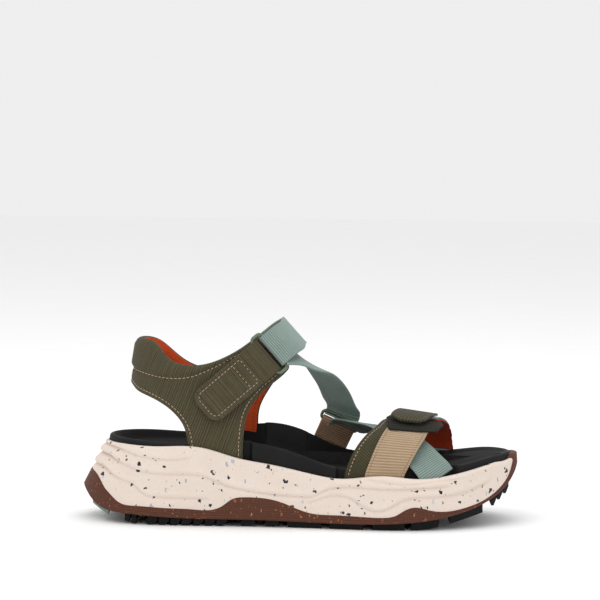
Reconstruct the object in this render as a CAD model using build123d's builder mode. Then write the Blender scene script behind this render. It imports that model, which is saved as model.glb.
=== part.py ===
"""Strappy sport sandal, right foot: moulded sole, padded heel quarter, zigzag webbing and two
hook-and-loop closures.  Millimetres.  +X runs from heel to toe, +Y to the inner (medial) side,
+Z up; the origin is on the ground under the middle of the sole."""

import os
from math import cos, pi, sin

from build123d import *

# ---- driving dimensions -------------------------------------------------------------------
PAST = 75.0                   # half of any cut that has to pass right through the shoe
GAP = 0.1                     # clearance between layers that are glued or sewn together

PLATE_THICKNESS = 3.0         # outsole rubber under the midsole
WRAP_THICKNESS = 3.0          # outsole rubber up the side of the midsole
RECESS_INSET = 4.5            # width of the midsole's top rim
BOARD_THICKNESS = 1.2         # fibre insole board
COVER_THICKNESS = 1.2         # microfibre cover of the footbed
RIM_WIDTH = 7.0               # raised rim round the footbed
HEEL_SLANT = 10.5             # the back of the heel leans forward by this much to the footbed
SHANK_LENGTH, SHANK_WIDTH, SHANK_THICKNESS = 78.0, 22.0, 1.5

FABRIC, FOAM, LINING = 1.3, 2.0, 0.8          # the quarter, from the outside in

WEB_WIDTH, WEB_THICKNESS = 22.0, 1.4          # zigzag webbing
BASE_THICKNESS, TAN_THICKNESS, TAPE = 1.2, 1.4, 0.9

RING_WIRE = 1.15              # radius of the ring's wire
RING_SPAN = 24.6              # inside length of a ring, along its bars
RING_CORNER = 2.5
HINGE_CLEARANCE = 0.2

TAB_WIDTH, TAB_LENGTH, TAB_THICKNESS = 23.5, 51.0, 1.6

# ---- curves in the side view, as (x, z) ---------------------------------------------------
SOLE_BOTTOM = [(-136, 21), (-124, 9.6), (-108, 6.6), (-80, 5), (-30, 4.4), (60, 4.4), (80, 6.4),
               (100, 10.6), (120, 18.5), (134, 32), (136, 36)]
SOLE_TOP = [(-121, 48.6), (-92, 48.4), (-62, 48), (-41, 42.3), (-20, 38.6), (8, 33), (24, 30.9),
            (52, 33.2), (70, 31.6), (100, 34.3), (136, 42.2)]
WRAP_TOP = [(-126, 32), (-115, 20), (-104, 12), (-80, 10.8), (-56, 10.8), (-42, 17),
            (-12, 15.6), (4, 9), (48, 8), (66, 14.2), (82, 12), (104, 14.6), (122, 23), (134, 42)]
RECESS_FLOOR = [(-150, 42), (-110, 41.5), (-80, 41), (-60, 39.5), (-38, 35), (0, 29), (25, 26.5),
                (70, 26.5), (100, 29), (120, 33), (150, 39)]
RIM_LATERAL = [(-150, 50.6), (-92, 50.2), (-65, 50.3), (-42, 52.2), (-22, 50), (0, 44.3), (15, 39.4),
               (32, 36.2), (70, 36.4), (106, 39.6), (124, 42.6), (150, 43.6)]
RIM_MEDIAL = [(-150, 50.9), (-92, 50), (-60, 50.4), (-40, 54.3), (-22, 56), (-4, 53), (12, 46.4),
              (30, 39.4), (60, 37.4), (85, 38), (106, 40.2), (124, 42.9), (150, 43.6)]
DISH_FLOOR = [(-150, 44.4), (-110, 44.2), (-80, 44), (-60, 43.8), (-40, 42.6), (-20, 39.5), (0, 35.6),
              (15, 33.4), (32, 32.4), (70, 32.6), (106, 36), (124, 39), (150, 42)]

# each side of the quarter: along the top, down the front and up the rear
LATERAL_TOP = [(-116, 112.3), (-97, 112.2), (-92, 110.6), (-86, 104.2), (-80, 99.8), (-71, 97.7),
               (-60, 98.3), (-49, 102), (-38, 108), (-28, 115.3)]
LATERAL_FRONT = [(-6.8, 97.2), (-12, 91.7), (-20, 85.2), (-27, 78.2), (-32.5, 70), (-35.2, 58),
                 (-35.3, 30)]
LATERAL_REAR = [(-70, 30), (-69.9, 50), (-73, 61), (-81, 70), (-92, 76.2), (-103, 80.5), (-116, 84)]
MEDIAL_TOP = [(-116, 112.3), (-97, 112), (-90, 109.2), (-83, 103.5), (-75, 97), (-64, 92), (-54, 91.2),
              (-44, 95), (-34, 101), (-25, 107.5)]
MEDIAL_FRONT = [(-11, 94), (-17, 84), (-22.5, 75), (-26.5, 66), (-27.5, 54), (-27, 30)]
MEDIAL_REAR = [(-60, 30), (-60, 48), (-64, 61), (-73, 70), (-88, 76.4), (-103, 80.5), (-116, 84)]

TREAD_CHANNEL, BRIDGE_WIDTH = 9.0, 16.0

# ---- straps -------------------------------------------------------------------------------
STRAP_LINING = 0.7
TAB_CORNER = 7.0
BAND_BAR, TAB_BAR = (-0.6, 0), (-2.25, -7.3)           # bars of the ankle ring, in its plane
LOOP_BAR = (1.3, -7.4)                                 # lower bar of the midfoot ring
INSTEP_ARC = [(-2.65, 1.2), (-1.6, 5.8), (3, 10.4), (11, 13.6)]
INSTEP_END = [(12, 13.3), (6, 8.4), (3.7, 1), (1.4, -10), (-0.9, -20), (-3, -30)]
DIAGONAL = [((-11.5, -21.8, 106.5), (0.52, -0.38, -0.765)), ((-3.5, -16, 101), (0.45, -0.62, -0.64)),
            ((4.5, -7, 95), (0.43, -0.78, -0.45)), ((13, 7, 86), (0.58, -0.74, -0.34)),
            ((20, 20, 77.5), (0.88, -0.46, -0.12)), ((24.3, 31, 69), (0.93, -0.15, -0.33)),
            ((26, 38.25, 60.6), (0.915, 0, -0.403))]
FOREFOOT_RUN = [((24.6, 35, 57.5), (0.915, 0, -0.403)), ((30.5, 26, 57.5), (0.87, 0.38, -0.3)),
                ((40, 12, 58), (0.82, 0.55, -0.15)), ((53, -8, 57.2), (0.82, 0.56, -0.08)),
                ((64, -24, 52), (0.86, 0.48, 0.09)), ((73.6, -32.4, 43.4), (0.9, 0.37, 0.22)),
                ((80, -37.2, 37), (0.94, 0.3, 0.1)), ((84.4, -38.1, 31), (0.956, 0.293, 0))]
BASE_OUTLINE = [(26.4, 20), (26.4, 32), (29.5, 42), (33.7, 50), (39.3, 57), (46, 64), (55, 72),
                (84, 72), (75, 54), (62.5, 32), (62.5, 20)]
TAN_OUTLINE = [(38.8, 20), (38.8, 34), (54.5, 63), (58, 74), (86, 74), (79, 59), (62.5, 32), (62.5, 20)]
TAPE_PLAN = [(52, -34), (83, -27), (88, -10), (87, 9), (58, 9), (52, -10)]
INNER_OUTLINE = [(70, 20), (70, 40), (66, 55), (62, 80), (85, 80), (86, 66), (93, 58), (95.6, 50),
                 (96.7, 40), (96.7, 20)]
FOREFOOT_TAB_PLAN = [(54.5, -22), (60, -28), (73, -26), (78, -20), (86, 14), (62, 14)]
HOOK_PLAN = [(58, -20), (61, -24), (72, -22.5), (75.5, -18), (80.5, -1), (60.5, -1)]
ROOT_HEIGHT, ROOT_GAP = 40.0, 0.8                      # where the inner strap bends open
SLOTS = [(-71.5, -33.5, -1), (-61.5, -25.5, 1), (24, 65, -1), (66, 99, 1)]
LOOP_SLOT, RUN_SLOT = 35.6, 33.2

# ---- plan of the sole at ground level, lateral side first --------------------------------
OUTLINE = [(-135, 0), (-127, -20), (-108, -33.5), (-75, -39), (-30, -40), (10, -43.6), (58, -49),
           (92, -42.5), (120, -24), (136, 2), (126, 28.5), (100, 43.5), (66, 49), (20, 43.4),
           (-30, 37), (-75, 37.5), (-108, 33), (-127, 20)]


def outline_points(inset, heel=0.0):
    """The sole's plan drawn in by about inset all round, and by heel more at the back."""
    points = []
    for x, y in OUTLINE:
        pull = heel * max(0, (-60 - x) / 75) ** 1.5
        points.append((x * (1 - inset / 135) + pull, y * (1 - inset / 45)))
    return points


def plan_face(inset, heel=0.0):
    """Sketch on Plane.XY of the drawn-in plan."""
    make_face(Edge.make_spline(outline_points(inset, heel), periodic=True))


def side_band(lower, upper):
    """Sketch on Plane.XZ of everything between two side-view curves."""
    low = Edge.make_spline(lower)
    high = Edge.make_spline(upper)
    ends = [Edge.make_line(low @ 0, high @ 0), Edge.make_line(low @ 1, high @ 1)]
    make_face([low, high] + ends)


def shifted(points, dz):
    return [(x, z + dz) for x, z in points]


def save(piece, name):
    piece.part.label = name
    export_step(piece.part, f"parts/{name}.step")


# ---- shapes of the foot that the upper is laid over ---------------------------------------
def ankle_half_width(x, z):
    """Half width of the quarter's outer face on the lateral side."""
    rise = max(z - 45, 0)
    return 34.7 - 0.1 * rise - 0.001 * rise**2 - 0.0015 * rise * max(x + 56, -6)


def ankle_face(z, depth):
    """Sketch of the ankle's plan at height z, drawn in by depth; open ends meet a flat front."""
    back = -113 + 0.16 * (z - 45) + depth
    wide = ankle_half_width(-62, z) - depth
    narrow = wide - 2.2
    lateral = [(x, depth - ankle_half_width(x, z)) for x in (20, -12, -42)]
    heel = [(-62, -wide)]
    for turn in (30, 60, 90, 120, 150):
        side = narrow if turn > 90 else wide
        reach = -62 - (-62 - back) * sin(turn * pi / 180)
        heel.append((reach, -side * cos(turn * pi / 180)))
    heel.append((-62, narrow))
    medial = [(x, ankle_half_width(x, z) - depth - 2.2) for x in (-42, -12, 20)]
    curve = Edge.make_spline(lateral + heel + medial)
    make_face([curve, Edge.make_line(curve @ 1, curve @ 0)])


def ankle_solid(depth):
    """Everything inside the ankle's surface drawn in by depth."""
    with BuildPart() as solid:
        for z in ANKLE_LEVELS:
            with BuildSketch(Plane.XY.offset(z)):
                ankle_face(z, depth)
        loft()
    return solid.part


def lateral_half(x):
    """Half width of the outer strap's inner face, just inside the midsole's rim."""
    return 44.1 - 0.0032 * min(x - 54, 0) ** 2 - 0.0046 * max(x - 54, 0) ** 2 - 3.8


def medial_half(x):
    return 44.1 - 0.0043 * (x - 63) ** 2 - 2.7


def crest(x):
    """Height of the inner face of the outer forefoot strap over the middle of the foot."""
    return 60.5 - 0.14 * (x - 60)


def arch_face(x, offset, lift):
    """Sketch of the forefoot's cross-section at x, grown by offset and raised by lift."""
    points = []
    for step in range(13):
        turn = pi * step / 12
        half = (lateral_half(x) if step < 6 else medial_half(x)) + offset
        side = -half * abs(cos(turn)) ** 0.8 if step < 6 else half * abs(cos(turn)) ** 0.8
        high = crest(x) + lift + offset - ARCH_BASE
        points.append((side, ARCH_BASE + high * sin(turn) ** 0.8))
    curve = Edge.make_spline(points)
    low_left, low_right = (points[0][0], ARCH_BASE - 6), (points[-1][0], ARCH_BASE - 6)
    make_face([
        curve,
        Edge.make_line(points[0], low_left),
        Edge.make_line(low_left, low_right),
        Edge.make_line(low_right, points[-1]),
    ])


def arch_solid(offset, lift=0.0):
    """Everything under the forefoot's surface grown by offset and raised by lift."""
    with BuildPart() as solid:
        for x in ARCH_STATIONS:
            with BuildSketch(Plane.YZ.offset(x)):
                arch_face(x, offset, lift)
        loft()
    return solid.part


def layer(outer, inner, zone, name):
    """Save the shell between two solids, trimmed to zone and standing on the insole board."""
    with BuildPart() as shell:
        add(outer)
        add(inner, mode=Mode.SUBTRACT)
        add(zone.part, mode=Mode.INTERSECT)
        add(under_board.part, mode=Mode.SUBTRACT)
    save(shell, name)


def ribbon(stations, width, thickness):
    """Webbing through stations of (centre, direction across the webbing)."""
    centres = [Vector(*centre) for centre, across in stations]
    last = len(stations) - 1
    with BuildPart() as webbing:
        for i, (centre, across) in enumerate(stations):
            across = Vector(*across).normalized()
            along = centres[min(i + 1, last)] - centres[max(i - 1, 0)]
            along = along - across * along.dot(across)
            with BuildSketch(Plane(centres[i], x_dir=across, z_dir=along)):
                Rectangle(width, thickness)
        loft()
    return webbing.part


def strip(path, thickness):
    """Sketch of a strap seen from its edge, along path."""
    trace(Edge.make_spline(path), line_width=thickness)


def hairpin(bar, thickness, opening):
    """Sketch of a strap's U-turn round a ring's bar; opening is 1 if its legs go up."""
    inner = RING_WIRE + HINGE_CLEARANCE
    with Locations(bar):
        Circle(inner + thickness)
        Circle(inner, mode=Mode.SUBTRACT)
    with Locations((bar[0], bar[1] + opening * 5)):
        Rectangle(12, 10, mode=Mode.SUBTRACT)


def wire_ring(plane, bar_a, bar_b):
    """Rounded rectangular ring of wire; its two long bars run along the plane's normal."""
    middle = plane.from_local_coords(((bar_a[0] + bar_b[0]) / 2, (bar_a[1] + bar_b[1]) / 2, 0))
    between = plane.x_dir * (bar_b[0] - bar_a[0]) + plane.y_dir * (bar_b[1] - bar_a[1])
    flat = Plane(middle, x_dir=plane.z_dir, z_dir=plane.z_dir.cross(between))
    with BuildSketch(flat) as outline:
        RectangleRounded(RING_SPAN + 2 * RING_WIRE, between.length, RING_CORNER)
    path = outline.sketch.wires()[0]
    with BuildPart() as ring:
        with BuildSketch(Plane(path @ 0, z_dir=path % 0)):
            Circle(RING_WIRE)
        sweep(path=path)
    return ring


ANKLE_LEVELS = (34, 60, 85, 108, 132)
ARCH_BASE = 30.0
ARCH_STATIONS = (5, 35, 62, 88, 114)
SKY_LINE = [(-150, 170), (150, 170)]
FLOOR_LINE = [(-150, -20), (150, -20)]
os.makedirs("parts", exist_ok=True)

# ---- sole ---------------------------------------------------------------------------------
with BuildPart() as sole_block:
    with BuildSketch():
        plan_face(-1.8)
    with BuildSketch(Plane.XY.offset(56)):
        plan_face(2.8)
    loft(ruled=True)
    with BuildSketch(Plane.XZ):
        low = Edge.make_spline(SOLE_BOTTOM)
        high = Edge.make_spline(SOLE_TOP)
        make_face([low, high, Edge.make_line(low @ 0, high @ 0), Edge.make_line(low @ 1, high @ 1)])
    extrude(amount=PAST, both=True, mode=Mode.INTERSECT)

with BuildPart() as midsole_core:
    with BuildSketch():
        plan_face(WRAP_THICKNESS + 1.5)
    extrude(amount=80)
    with BuildSketch(Plane.XZ):
        side_band([(-150, 40)] + shifted(SOLE_BOTTOM, PLATE_THICKNESS) + [(150, 70)], SKY_LINE)
    extrude(amount=PAST, both=True, mode=Mode.INTERSECT)

# everything that is rubber, running well past the sole on every side
with BuildPart() as rubber_zone:
    with BuildSketch(Plane.XZ):
        side_band(FLOOR_LINE, [(-150, 34)] + WRAP_TOP + [(150, 60)])
    extrude(amount=PAST, both=True)
    add(midsole_core.part, mode=Mode.SUBTRACT)

with BuildPart() as recess:
    with BuildSketch():
        plan_face(RECESS_INSET, HEEL_SLANT)
    extrude(amount=70)
    with BuildSketch(Plane.XZ):
        side_band(RECESS_FLOOR, SKY_LINE)
    extrude(amount=PAST, both=True, mode=Mode.INTERSECT)

with BuildPart() as shank:
    with BuildSketch(Plane.XZ):
        side_band(shifted(RECESS_FLOOR, -SHANK_THICKNESS), RECESS_FLOOR)
    extrude(amount=PAST, both=True)
    with BuildSketch():
        with Locations((-12, 0)):
            SlotOverall(SHANK_LENGTH, SHANK_WIDTH)
    extrude(amount=60, mode=Mode.INTERSECT)

with BuildPart() as outsole:
    add(sole_block.part)
    add(rubber_zone.part, mode=Mode.INTERSECT)

with BuildPart() as midsole:
    add(sole_block.part)
    add(rubber_zone.part, mode=Mode.SUBTRACT)
    add(recess.part, mode=Mode.SUBTRACT)
    add(shank.part, mode=Mode.SUBTRACT)

with BuildPart() as insole_board:
    with BuildSketch():
        plan_face(RECESS_INSET + GAP, HEEL_SLANT)
    extrude(amount=70)
    with BuildSketch(Plane.XZ):
        side_band(RECESS_FLOOR, shifted(RECESS_FLOOR, BOARD_THICKNESS))
    extrude(amount=PAST, both=True, mode=Mode.INTERSECT)

# ---- footbed: a raised rim round a dish, higher along the arch of the foot -----------------
with BuildPart() as dish:
    with BuildSketch():
        plan_face(RECESS_INSET + RIM_WIDTH, HEEL_SLANT)
    extrude(amount=80)
    with BuildSketch(Plane.XZ):
        side_band(DISH_FLOOR, SKY_LINE)
    extrude(amount=PAST, both=True, mode=Mode.INTERSECT)

with BuildPart() as rim_zone:
    with BuildSketch(Plane.XZ):
        side_band(shifted(RECESS_FLOOR, BOARD_THICKNESS), RIM_LATERAL)
    extrude(amount=PAST)
    with BuildSketch(Plane.XZ):
        side_band(shifted(RECESS_FLOOR, BOARD_THICKNESS), RIM_MEDIAL)
    extrude(amount=-PAST)

with BuildPart() as footbed_cover:
    with BuildSketch():
        plan_face(RECESS_INSET + RIM_WIDTH + GAP, HEEL_SLANT)
    extrude(amount=80)
    with BuildSketch(Plane.XZ):
        side_band(DISH_FLOOR, shifted(DISH_FLOOR, COVER_THICKNESS))
    extrude(amount=PAST, both=True, mode=Mode.INTERSECT)

save(outsole, "outsole")
save(midsole, "midsole")
save(shank, "shank")
save(insole_board, "insole_board")
save(footbed_cover, "footbed_cover")

# ---- tread: black blocks under the outsole, the rearmost one green -------------------------
with BuildPart() as tread_column:
    with BuildSketch():
        plan_face(2)
    extrude(amount=40)
    with BuildSketch():
        Rectangle(400, TREAD_CHANNEL)
    extrude(amount=40, mode=Mode.SUBTRACT)


def tread(blocks, bridge, name):
    """Save rows of blocks, each a side-view polygon, joined across the sole by a bridge."""
    with BuildPart() as rows:
        with BuildSketch(Plane.XZ):
            for block in blocks:
                Polygon(*block, align=None)
        extrude(amount=PAST, both=True)
        add(tread_column.part, mode=Mode.INTERSECT)
        with BuildSketch(Plane.XZ):
            Polygon(*bridge, align=None)
        extrude(amount=BRIDGE_WIDTH / 2, both=True)
        add(sole_block.part, mode=Mode.SUBTRACT)
    save(rows, name)


heel_teeth = [[(-108, 14), (-108, 1.8), (-105.2, 1), (-104.4, 14)],
              [(-103.8, 14), (-103.8, 1), (-101, 0.2), (-100.2, 14)]]
for tooth in range(7):
    rear = -94 + 7.1 * tooth
    heel_teeth.append([(rear, 12), (rear, 0), (rear + 3.4, 0), (rear + 6.3, 3), (rear + 6.3, 12)])
tread(heel_teeth, [(-108, 14), (-108, 5.4), (-94, 4.2), (-44, 3.4), (-44, 12)], "heel_tread")

tread([[(-36.5, 12), (-36.5, 0.8), (-27.7, 0.8), (-27.7, 12)],
       [(-21.5, 12), (-21.5, 0.8), (-13.4, 0.8), (-13.4, 12)]],
      [(-36.5, 12), (-36.5, 3.2), (-13.4, 3.2), (-13.4, 12)], "midfoot_tread")

tread([[(-7.8, 12), (-7.8, 0), (12.8, 0), (12.8, 12)],
       [(17.8, 12), (17.8, 0), (38.4, 0), (38.4, 12)],
       [(44, 12), (44, 0), (63.3, 0), (63.3, 12)],
       [(67.6, 12), (67.6, 0), (71, 0), (84.5, 1.9), (84.5, 12)]],
      [(-7.8, 12), (-7.8, 3.2), (70, 3), (84.5, 5), (84.5, 14)], "forefoot_tread")

tread([[(91.3, 20), (91.3, 3.6), (112, 9), (112, 24)]],
      [(91.3, 20), (91.3, 7), (112, 13), (112, 24)], "front_tread")

toe_teeth = []
for tooth in range(3):
    rear = 117.6 + 4 * tooth
    foot = 12.6 + 3.2 * tooth
    toe_teeth.append([(rear, 36), (rear, foot), (rear + 1.6, foot), (rear + 3.4, foot + 4), (rear + 3.4, 36)])
tread(toe_teeth, [(117.6, 36), (117.6, 15.6), (129, 25), (129, 36)], "toe_tread")

tread([[(-129, 24), (-129, 10), (-118.5, 4.4), (-118.5, 20)]],
      [(-129, 24), (-129, 13), (-118.5, 7), (-118.5, 20)], "heel_strike_tread")

# ---- quarter: fabric, padding and lining from one side of the sole round to the other ------
with BuildPart() as under_board:
    with BuildSketch(Plane.XZ):
        side_band(FLOOR_LINE, shifted(RECESS_FLOOR, BOARD_THICKNESS + GAP))
    extrude(amount=PAST, both=True)


def quarter_side(top, front, rear):
    """Sketch on Plane.XZ of one side of the quarter, from its three curved edges."""
    edges = [Edge.make_spline(points) for points in (top, front, rear)]
    ends = [Edge.make_line(edges[i] @ 1, edges[(i + 1) % 3] @ 0) for i in range(3)]
    make_face(edges + ends)


with BuildPart() as quarter_zone:
    with BuildSketch(Plane.XZ):
        quarter_side(LATERAL_TOP, LATERAL_FRONT, LATERAL_REAR)
    extrude(amount=PAST)
    with BuildSketch(Plane.XZ):
        quarter_side(MEDIAL_TOP, MEDIAL_FRONT, MEDIAL_REAR)
    extrude(amount=-PAST)

ankle_outside = ankle_solid(0)
ankle_foam = ankle_solid(FABRIC)
ankle_lining = ankle_solid(FABRIC + FOAM)
ankle_inside = ankle_solid(FABRIC + FOAM + LINING)
layer(ankle_outside, ankle_foam, quarter_zone, "quarter")
layer(ankle_foam, ankle_lining, quarter_zone, "quarter_padding")
layer(ankle_lining, ankle_inside, quarter_zone, "quarter_lining")

# ---- ankle closure: band over the instep, ring, tab and its hook and loop tapes ------------
across_ankle = Vector(0.661, -0.119, -0.741)
closure = Plane((-17.4, -24.6, 107.7), x_dir=(0.0793, 0.9929, -0.0889), z_dir=across_ankle)

save(wire_ring(closure, BAND_BAR, TAB_BAR), "ankle_ring")

with BuildPart() as instep_webbing:
    with BuildSketch(closure):
        hairpin(BAND_BAR, WEB_THICKNESS, 1)
        strip([(-2.65, -0.1), (-2.65, 1.6)], WEB_THICKNESS)
        strip([(1.45, -0.1), (1.45, 1.0)], WEB_THICKNESS)
    extrude(amount=WEB_WIDTH / 2, both=True)
    path = [closure.from_local_coords((u, v, 0)) for u, v in INSTEP_ARC]
    inner_path = [closure.from_local_coords((u, v, 0)) for u, v in INSTEP_END]
    stations = [(tuple(point), across_ankle) for point in path]
    stations += [((-7, 0, 117.8), (0.666, 0, -0.746))]
    stations += [((point.X, -point.Y, point.Z), (0.661, 0.119, -0.741)) for point in inner_path]
    add(ribbon(stations, WEB_WIDTH, WEB_THICKNESS))
save(instep_webbing, "instep_webbing")

with BuildPart() as ankle_tab:
    with BuildSketch(closure):
        hairpin(TAB_BAR, TAB_THICKNESS, -1)
        strip([(-4.4, -7.1), (-5, -14), (-5.7, -22), (-6.9, -30), (-8.8, -40), (-10.2, -50),
               (-10.9, -57)], TAB_THICKNESS)
        strip([(-0.1, -7.1), (-1.3, -12), (-3.2, -17.5), (-4.9, -21)], TAB_THICKNESS)
    extrude(amount=TAB_WIDTH / 2, both=True)
    with BuildSketch(Plane(closure.origin, x_dir=closure.z_dir, z_dir=closure.x_dir)):
        with Locations((0, 22)):
            RectangleRounded(TAB_WIDTH, 70, TAB_CORNER)
    extrude(amount=40, both=True, mode=Mode.INTERSECT)
save(ankle_tab, "ankle_tab")

with BuildPart() as ankle_hook_tape:
    with BuildSketch(closure):
        strip([(-4.6, -24), (-5.6, -30), (-7.5, -40), (-8.9, -50), (-9.4, -54.5)], TAPE)
    extrude(amount=TAB_WIDTH / 2 - 2, both=True)
save(ankle_hook_tape, "ankle_hook_tape")

with BuildPart() as ankle_loop_tape:
    with BuildSketch(closure):
        strip([(-3.1, -24), (-4.4, -30), (-6.3, -40), (-7.75, -50), (-8.4, -57)], TAPE)
    extrude(amount=TAB_WIDTH / 2 - 1, both=True)
save(ankle_loop_tape, "ankle_loop_tape")

# ---- zigzag webbing: over the foot to the inner ring, then across to the outer sole --------
across_midfoot = Vector(0.915, 0, -0.403)
midfoot = Plane((25.5, 36.2, 59.5), x_dir=(0, 1, 0), z_dir=across_midfoot)

save(wire_ring(midfoot, (0, 0), LOOP_BAR), "midfoot_ring")

with BuildPart() as diagonal_webbing:
    with BuildSketch(midfoot):
        hairpin((0, 0), WEB_THICKNESS, 1)
        with Locations((-5.9, 0)):
            Rectangle(10, 10, mode=Mode.SUBTRACT)
        strip([(2.05, -0.1), (2.05, 1.2)], WEB_THICKNESS)
    extrude(amount=WEB_WIDTH / 2, both=True)
    add(ribbon(DIAGONAL, WEB_WIDTH, WEB_THICKNESS))
save(diagonal_webbing, "diagonal_webbing")

with BuildPart() as forefoot_webbing:
    add(ribbon(FOREFOOT_RUN, WEB_WIDTH, WEB_THICKNESS))
    add(under_board.part, mode=Mode.SUBTRACT)
save(forefoot_webbing, "forefoot_webbing")

with BuildPart() as midfoot_loop:
    with BuildSketch(midfoot):
        hairpin(LOOP_BAR, WEB_THICKNESS, -1)
        strip([(3.35, -7.2), (3.2, -13), (2.2, -20), (1.5, -27)], WEB_THICKNESS)
        strip([(-0.75, -7.2), (0.2, -11), (1.6, -15.5), (2, -18)], WEB_THICKNESS)
    extrude(amount=WEB_WIDTH / 2, both=True)
    add(under_board.part, mode=Mode.SUBTRACT)
save(midfoot_loop, "midfoot_loop")

# ---- outer forefoot strap: lining, green base, tan webbing and the loop tape on top --------
base_offset = STRAP_LINING + GAP
tan_offset = base_offset + BASE_THICKNESS + GAP
tape_offset = tan_offset + TAN_THICKNESS + GAP
over_tape = tape_offset + TAPE + 2 * GAP


def side_zone(outline, medial_end):
    """Column through the shoe with a side-view outline, stopping at y = medial_end."""
    with BuildPart() as zone:
        with BuildSketch(Plane.XZ.offset(-medial_end)):
            Polygon(*outline, align=None)
        extrude(amount=PAST + medial_end)
    return zone


def plan_zone(outline):
    """Column through the shoe with an outline seen from above."""
    with BuildPart() as zone:
        with BuildSketch():
            Polygon(*outline, align=None)
        extrude(amount=120)
    return zone


base_zone = side_zone(BASE_OUTLINE, 10)
tan_zone = side_zone(TAN_OUTLINE, 8)
tape_zone = plan_zone(TAPE_PLAN)
lateral_inside = arch_solid(0)
lateral_lining_top = arch_solid(STRAP_LINING)
lateral_base = arch_solid(base_offset)
lateral_base_top = arch_solid(base_offset + BASE_THICKNESS)
layer(lateral_lining_top, lateral_inside, base_zone, "outer_strap_lining")
layer(lateral_base_top, lateral_base, base_zone, "outer_strap_base")
layer(arch_solid(tan_offset + TAN_THICKNESS), arch_solid(tan_offset), tan_zone, "tan_webbing")
layer(arch_solid(tape_offset + TAPE), arch_solid(tape_offset), tape_zone, "forefoot_loop_tape")

# ---- inner forefoot strap: opens about its root; its tab is peeled back separately ----------
with BuildPart() as above_root:
    with BuildSketch(Plane.XZ):
        Polygon(*INNER_OUTLINE, align=None)
    extrude(amount=-PAST)
    with Locations((80, 0, ROOT_HEIGHT)):
        Box(200, 200, 100, align=(Align.CENTER, Align.CENTER, Align.MIN), mode=Mode.INTERSECT)

with BuildPart() as below_root:
    with BuildSketch(Plane.XZ):
        Polygon(*INNER_OUTLINE, align=None)
    extrude(amount=-PAST)
    with Locations((80, 0, ROOT_HEIGHT - ROOT_GAP)):
        Box(200, 200, 100, align=(Align.CENTER, Align.CENTER, Align.MAX), mode=Mode.INTERSECT)

inner_inside = arch_solid(0, over_tape)
inner_lining_top = arch_solid(STRAP_LINING, over_tape)
inner_webbing = arch_solid(STRAP_LINING + GAP, over_tape)
inner_webbing_top = arch_solid(STRAP_LINING + GAP + WEB_THICKNESS, over_tape)
layer(inner_lining_top, inner_inside, above_root, "inner_strap_lining")
layer(inner_webbing_top, inner_webbing, above_root, "inner_strap_webbing")
layer(inner_webbing_top, inner_inside, below_root, "inner_strap_anchor")

tab_offset = STRAP_LINING + GAP + WEB_THICKNESS + HINGE_CLEARANCE
layer(arch_solid(tab_offset + TAB_THICKNESS, over_tape), arch_solid(tab_offset, over_tape),
      plan_zone(FOREFOOT_TAB_PLAN), "forefoot_tab")
layer(arch_solid(tab_offset - GAP, over_tape), arch_solid(tab_offset - GAP - 1.5, over_tape),
      plan_zone(HOOK_PLAN), "forefoot_hook_tape")

# ---- footbed, slotted for every strap that goes down beside it -----------------------------
with BuildPart() as footbed:
    with BuildSketch():
        plan_face(RECESS_INSET + 2 * GAP, HEEL_SLANT)
    extrude(amount=70)
    add(rim_zone.part, mode=Mode.INTERSECT)
    add(dish.part, mode=Mode.SUBTRACT)
    for (x_from, x_to, side), keep in zip(SLOTS, (ankle_inside, ankle_inside, lateral_inside,
                                                  inner_inside)):
        with BuildPart(mode=Mode.PRIVATE) as slot:
            with Locations(((x_from + x_to) / 2, side * 40, 45)):
                Box(x_to - x_from, 80, 60)
            add(keep, mode=Mode.SUBTRACT)
        add(slot.part, mode=Mode.SUBTRACT)
    with Locations((20, 60 + LOOP_SLOT, 45), (84.5, -60 - RUN_SLOT, 45)):
        Box(32, 120, 60, mode=Mode.SUBTRACT)
save(footbed, "footbed")
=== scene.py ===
import math

import bmesh
import bpy
import numpy as np
from mathutils import Matrix, Vector
from mathutils.geometry import delaunay_2d_cdt


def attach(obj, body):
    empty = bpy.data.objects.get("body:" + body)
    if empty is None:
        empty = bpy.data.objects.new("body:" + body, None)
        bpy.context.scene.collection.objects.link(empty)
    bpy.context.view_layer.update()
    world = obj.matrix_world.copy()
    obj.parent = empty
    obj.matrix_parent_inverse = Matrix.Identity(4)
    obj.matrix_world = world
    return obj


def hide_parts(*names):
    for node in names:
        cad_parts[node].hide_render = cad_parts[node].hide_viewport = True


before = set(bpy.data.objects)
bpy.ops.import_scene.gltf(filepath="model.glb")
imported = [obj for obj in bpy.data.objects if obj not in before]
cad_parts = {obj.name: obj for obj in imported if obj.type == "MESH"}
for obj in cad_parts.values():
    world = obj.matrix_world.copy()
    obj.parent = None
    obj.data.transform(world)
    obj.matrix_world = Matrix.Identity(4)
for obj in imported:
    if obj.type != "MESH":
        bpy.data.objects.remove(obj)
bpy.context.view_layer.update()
PI = math.pi
MM = 0.001                                # lengths are in millimetres: +X toe, -Y outer side, +Z up
WEB_WIDTH, WEB_HALF = 22.0, 0.7           # the grey-green webbing and the midfoot loop's tan webbing with painted shade: width, half its thickness
WEB_STEP, WEB_PITCH, WEB_RIBS = 0.24, 1.3, 0.16


# ---- curves -----------------------------------------------------------------------------
def unit(v):
    return v / np.maximum(np.linalg.norm(v, axis=-1, keepdims=True), 1e-9)


def smooth(x, low, high):
    """Ease from 0 at low to 1 at high."""
    t = np.clip((x - low) / (high - low), 0, 1)
    return t * t * (3 - 2 * t)


def lengths(path):
    """Length along a path at each of its points."""
    return np.concatenate([[0], np.cumsum(np.linalg.norm(np.diff(path, axis=0), axis=1))])


def columns(at, s, values):
    """Every column of values, known at s, read off at other lengths."""
    return np.stack([np.interp(at, s, values[:, c]) for c in range(values.shape[1])], -1)


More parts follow.
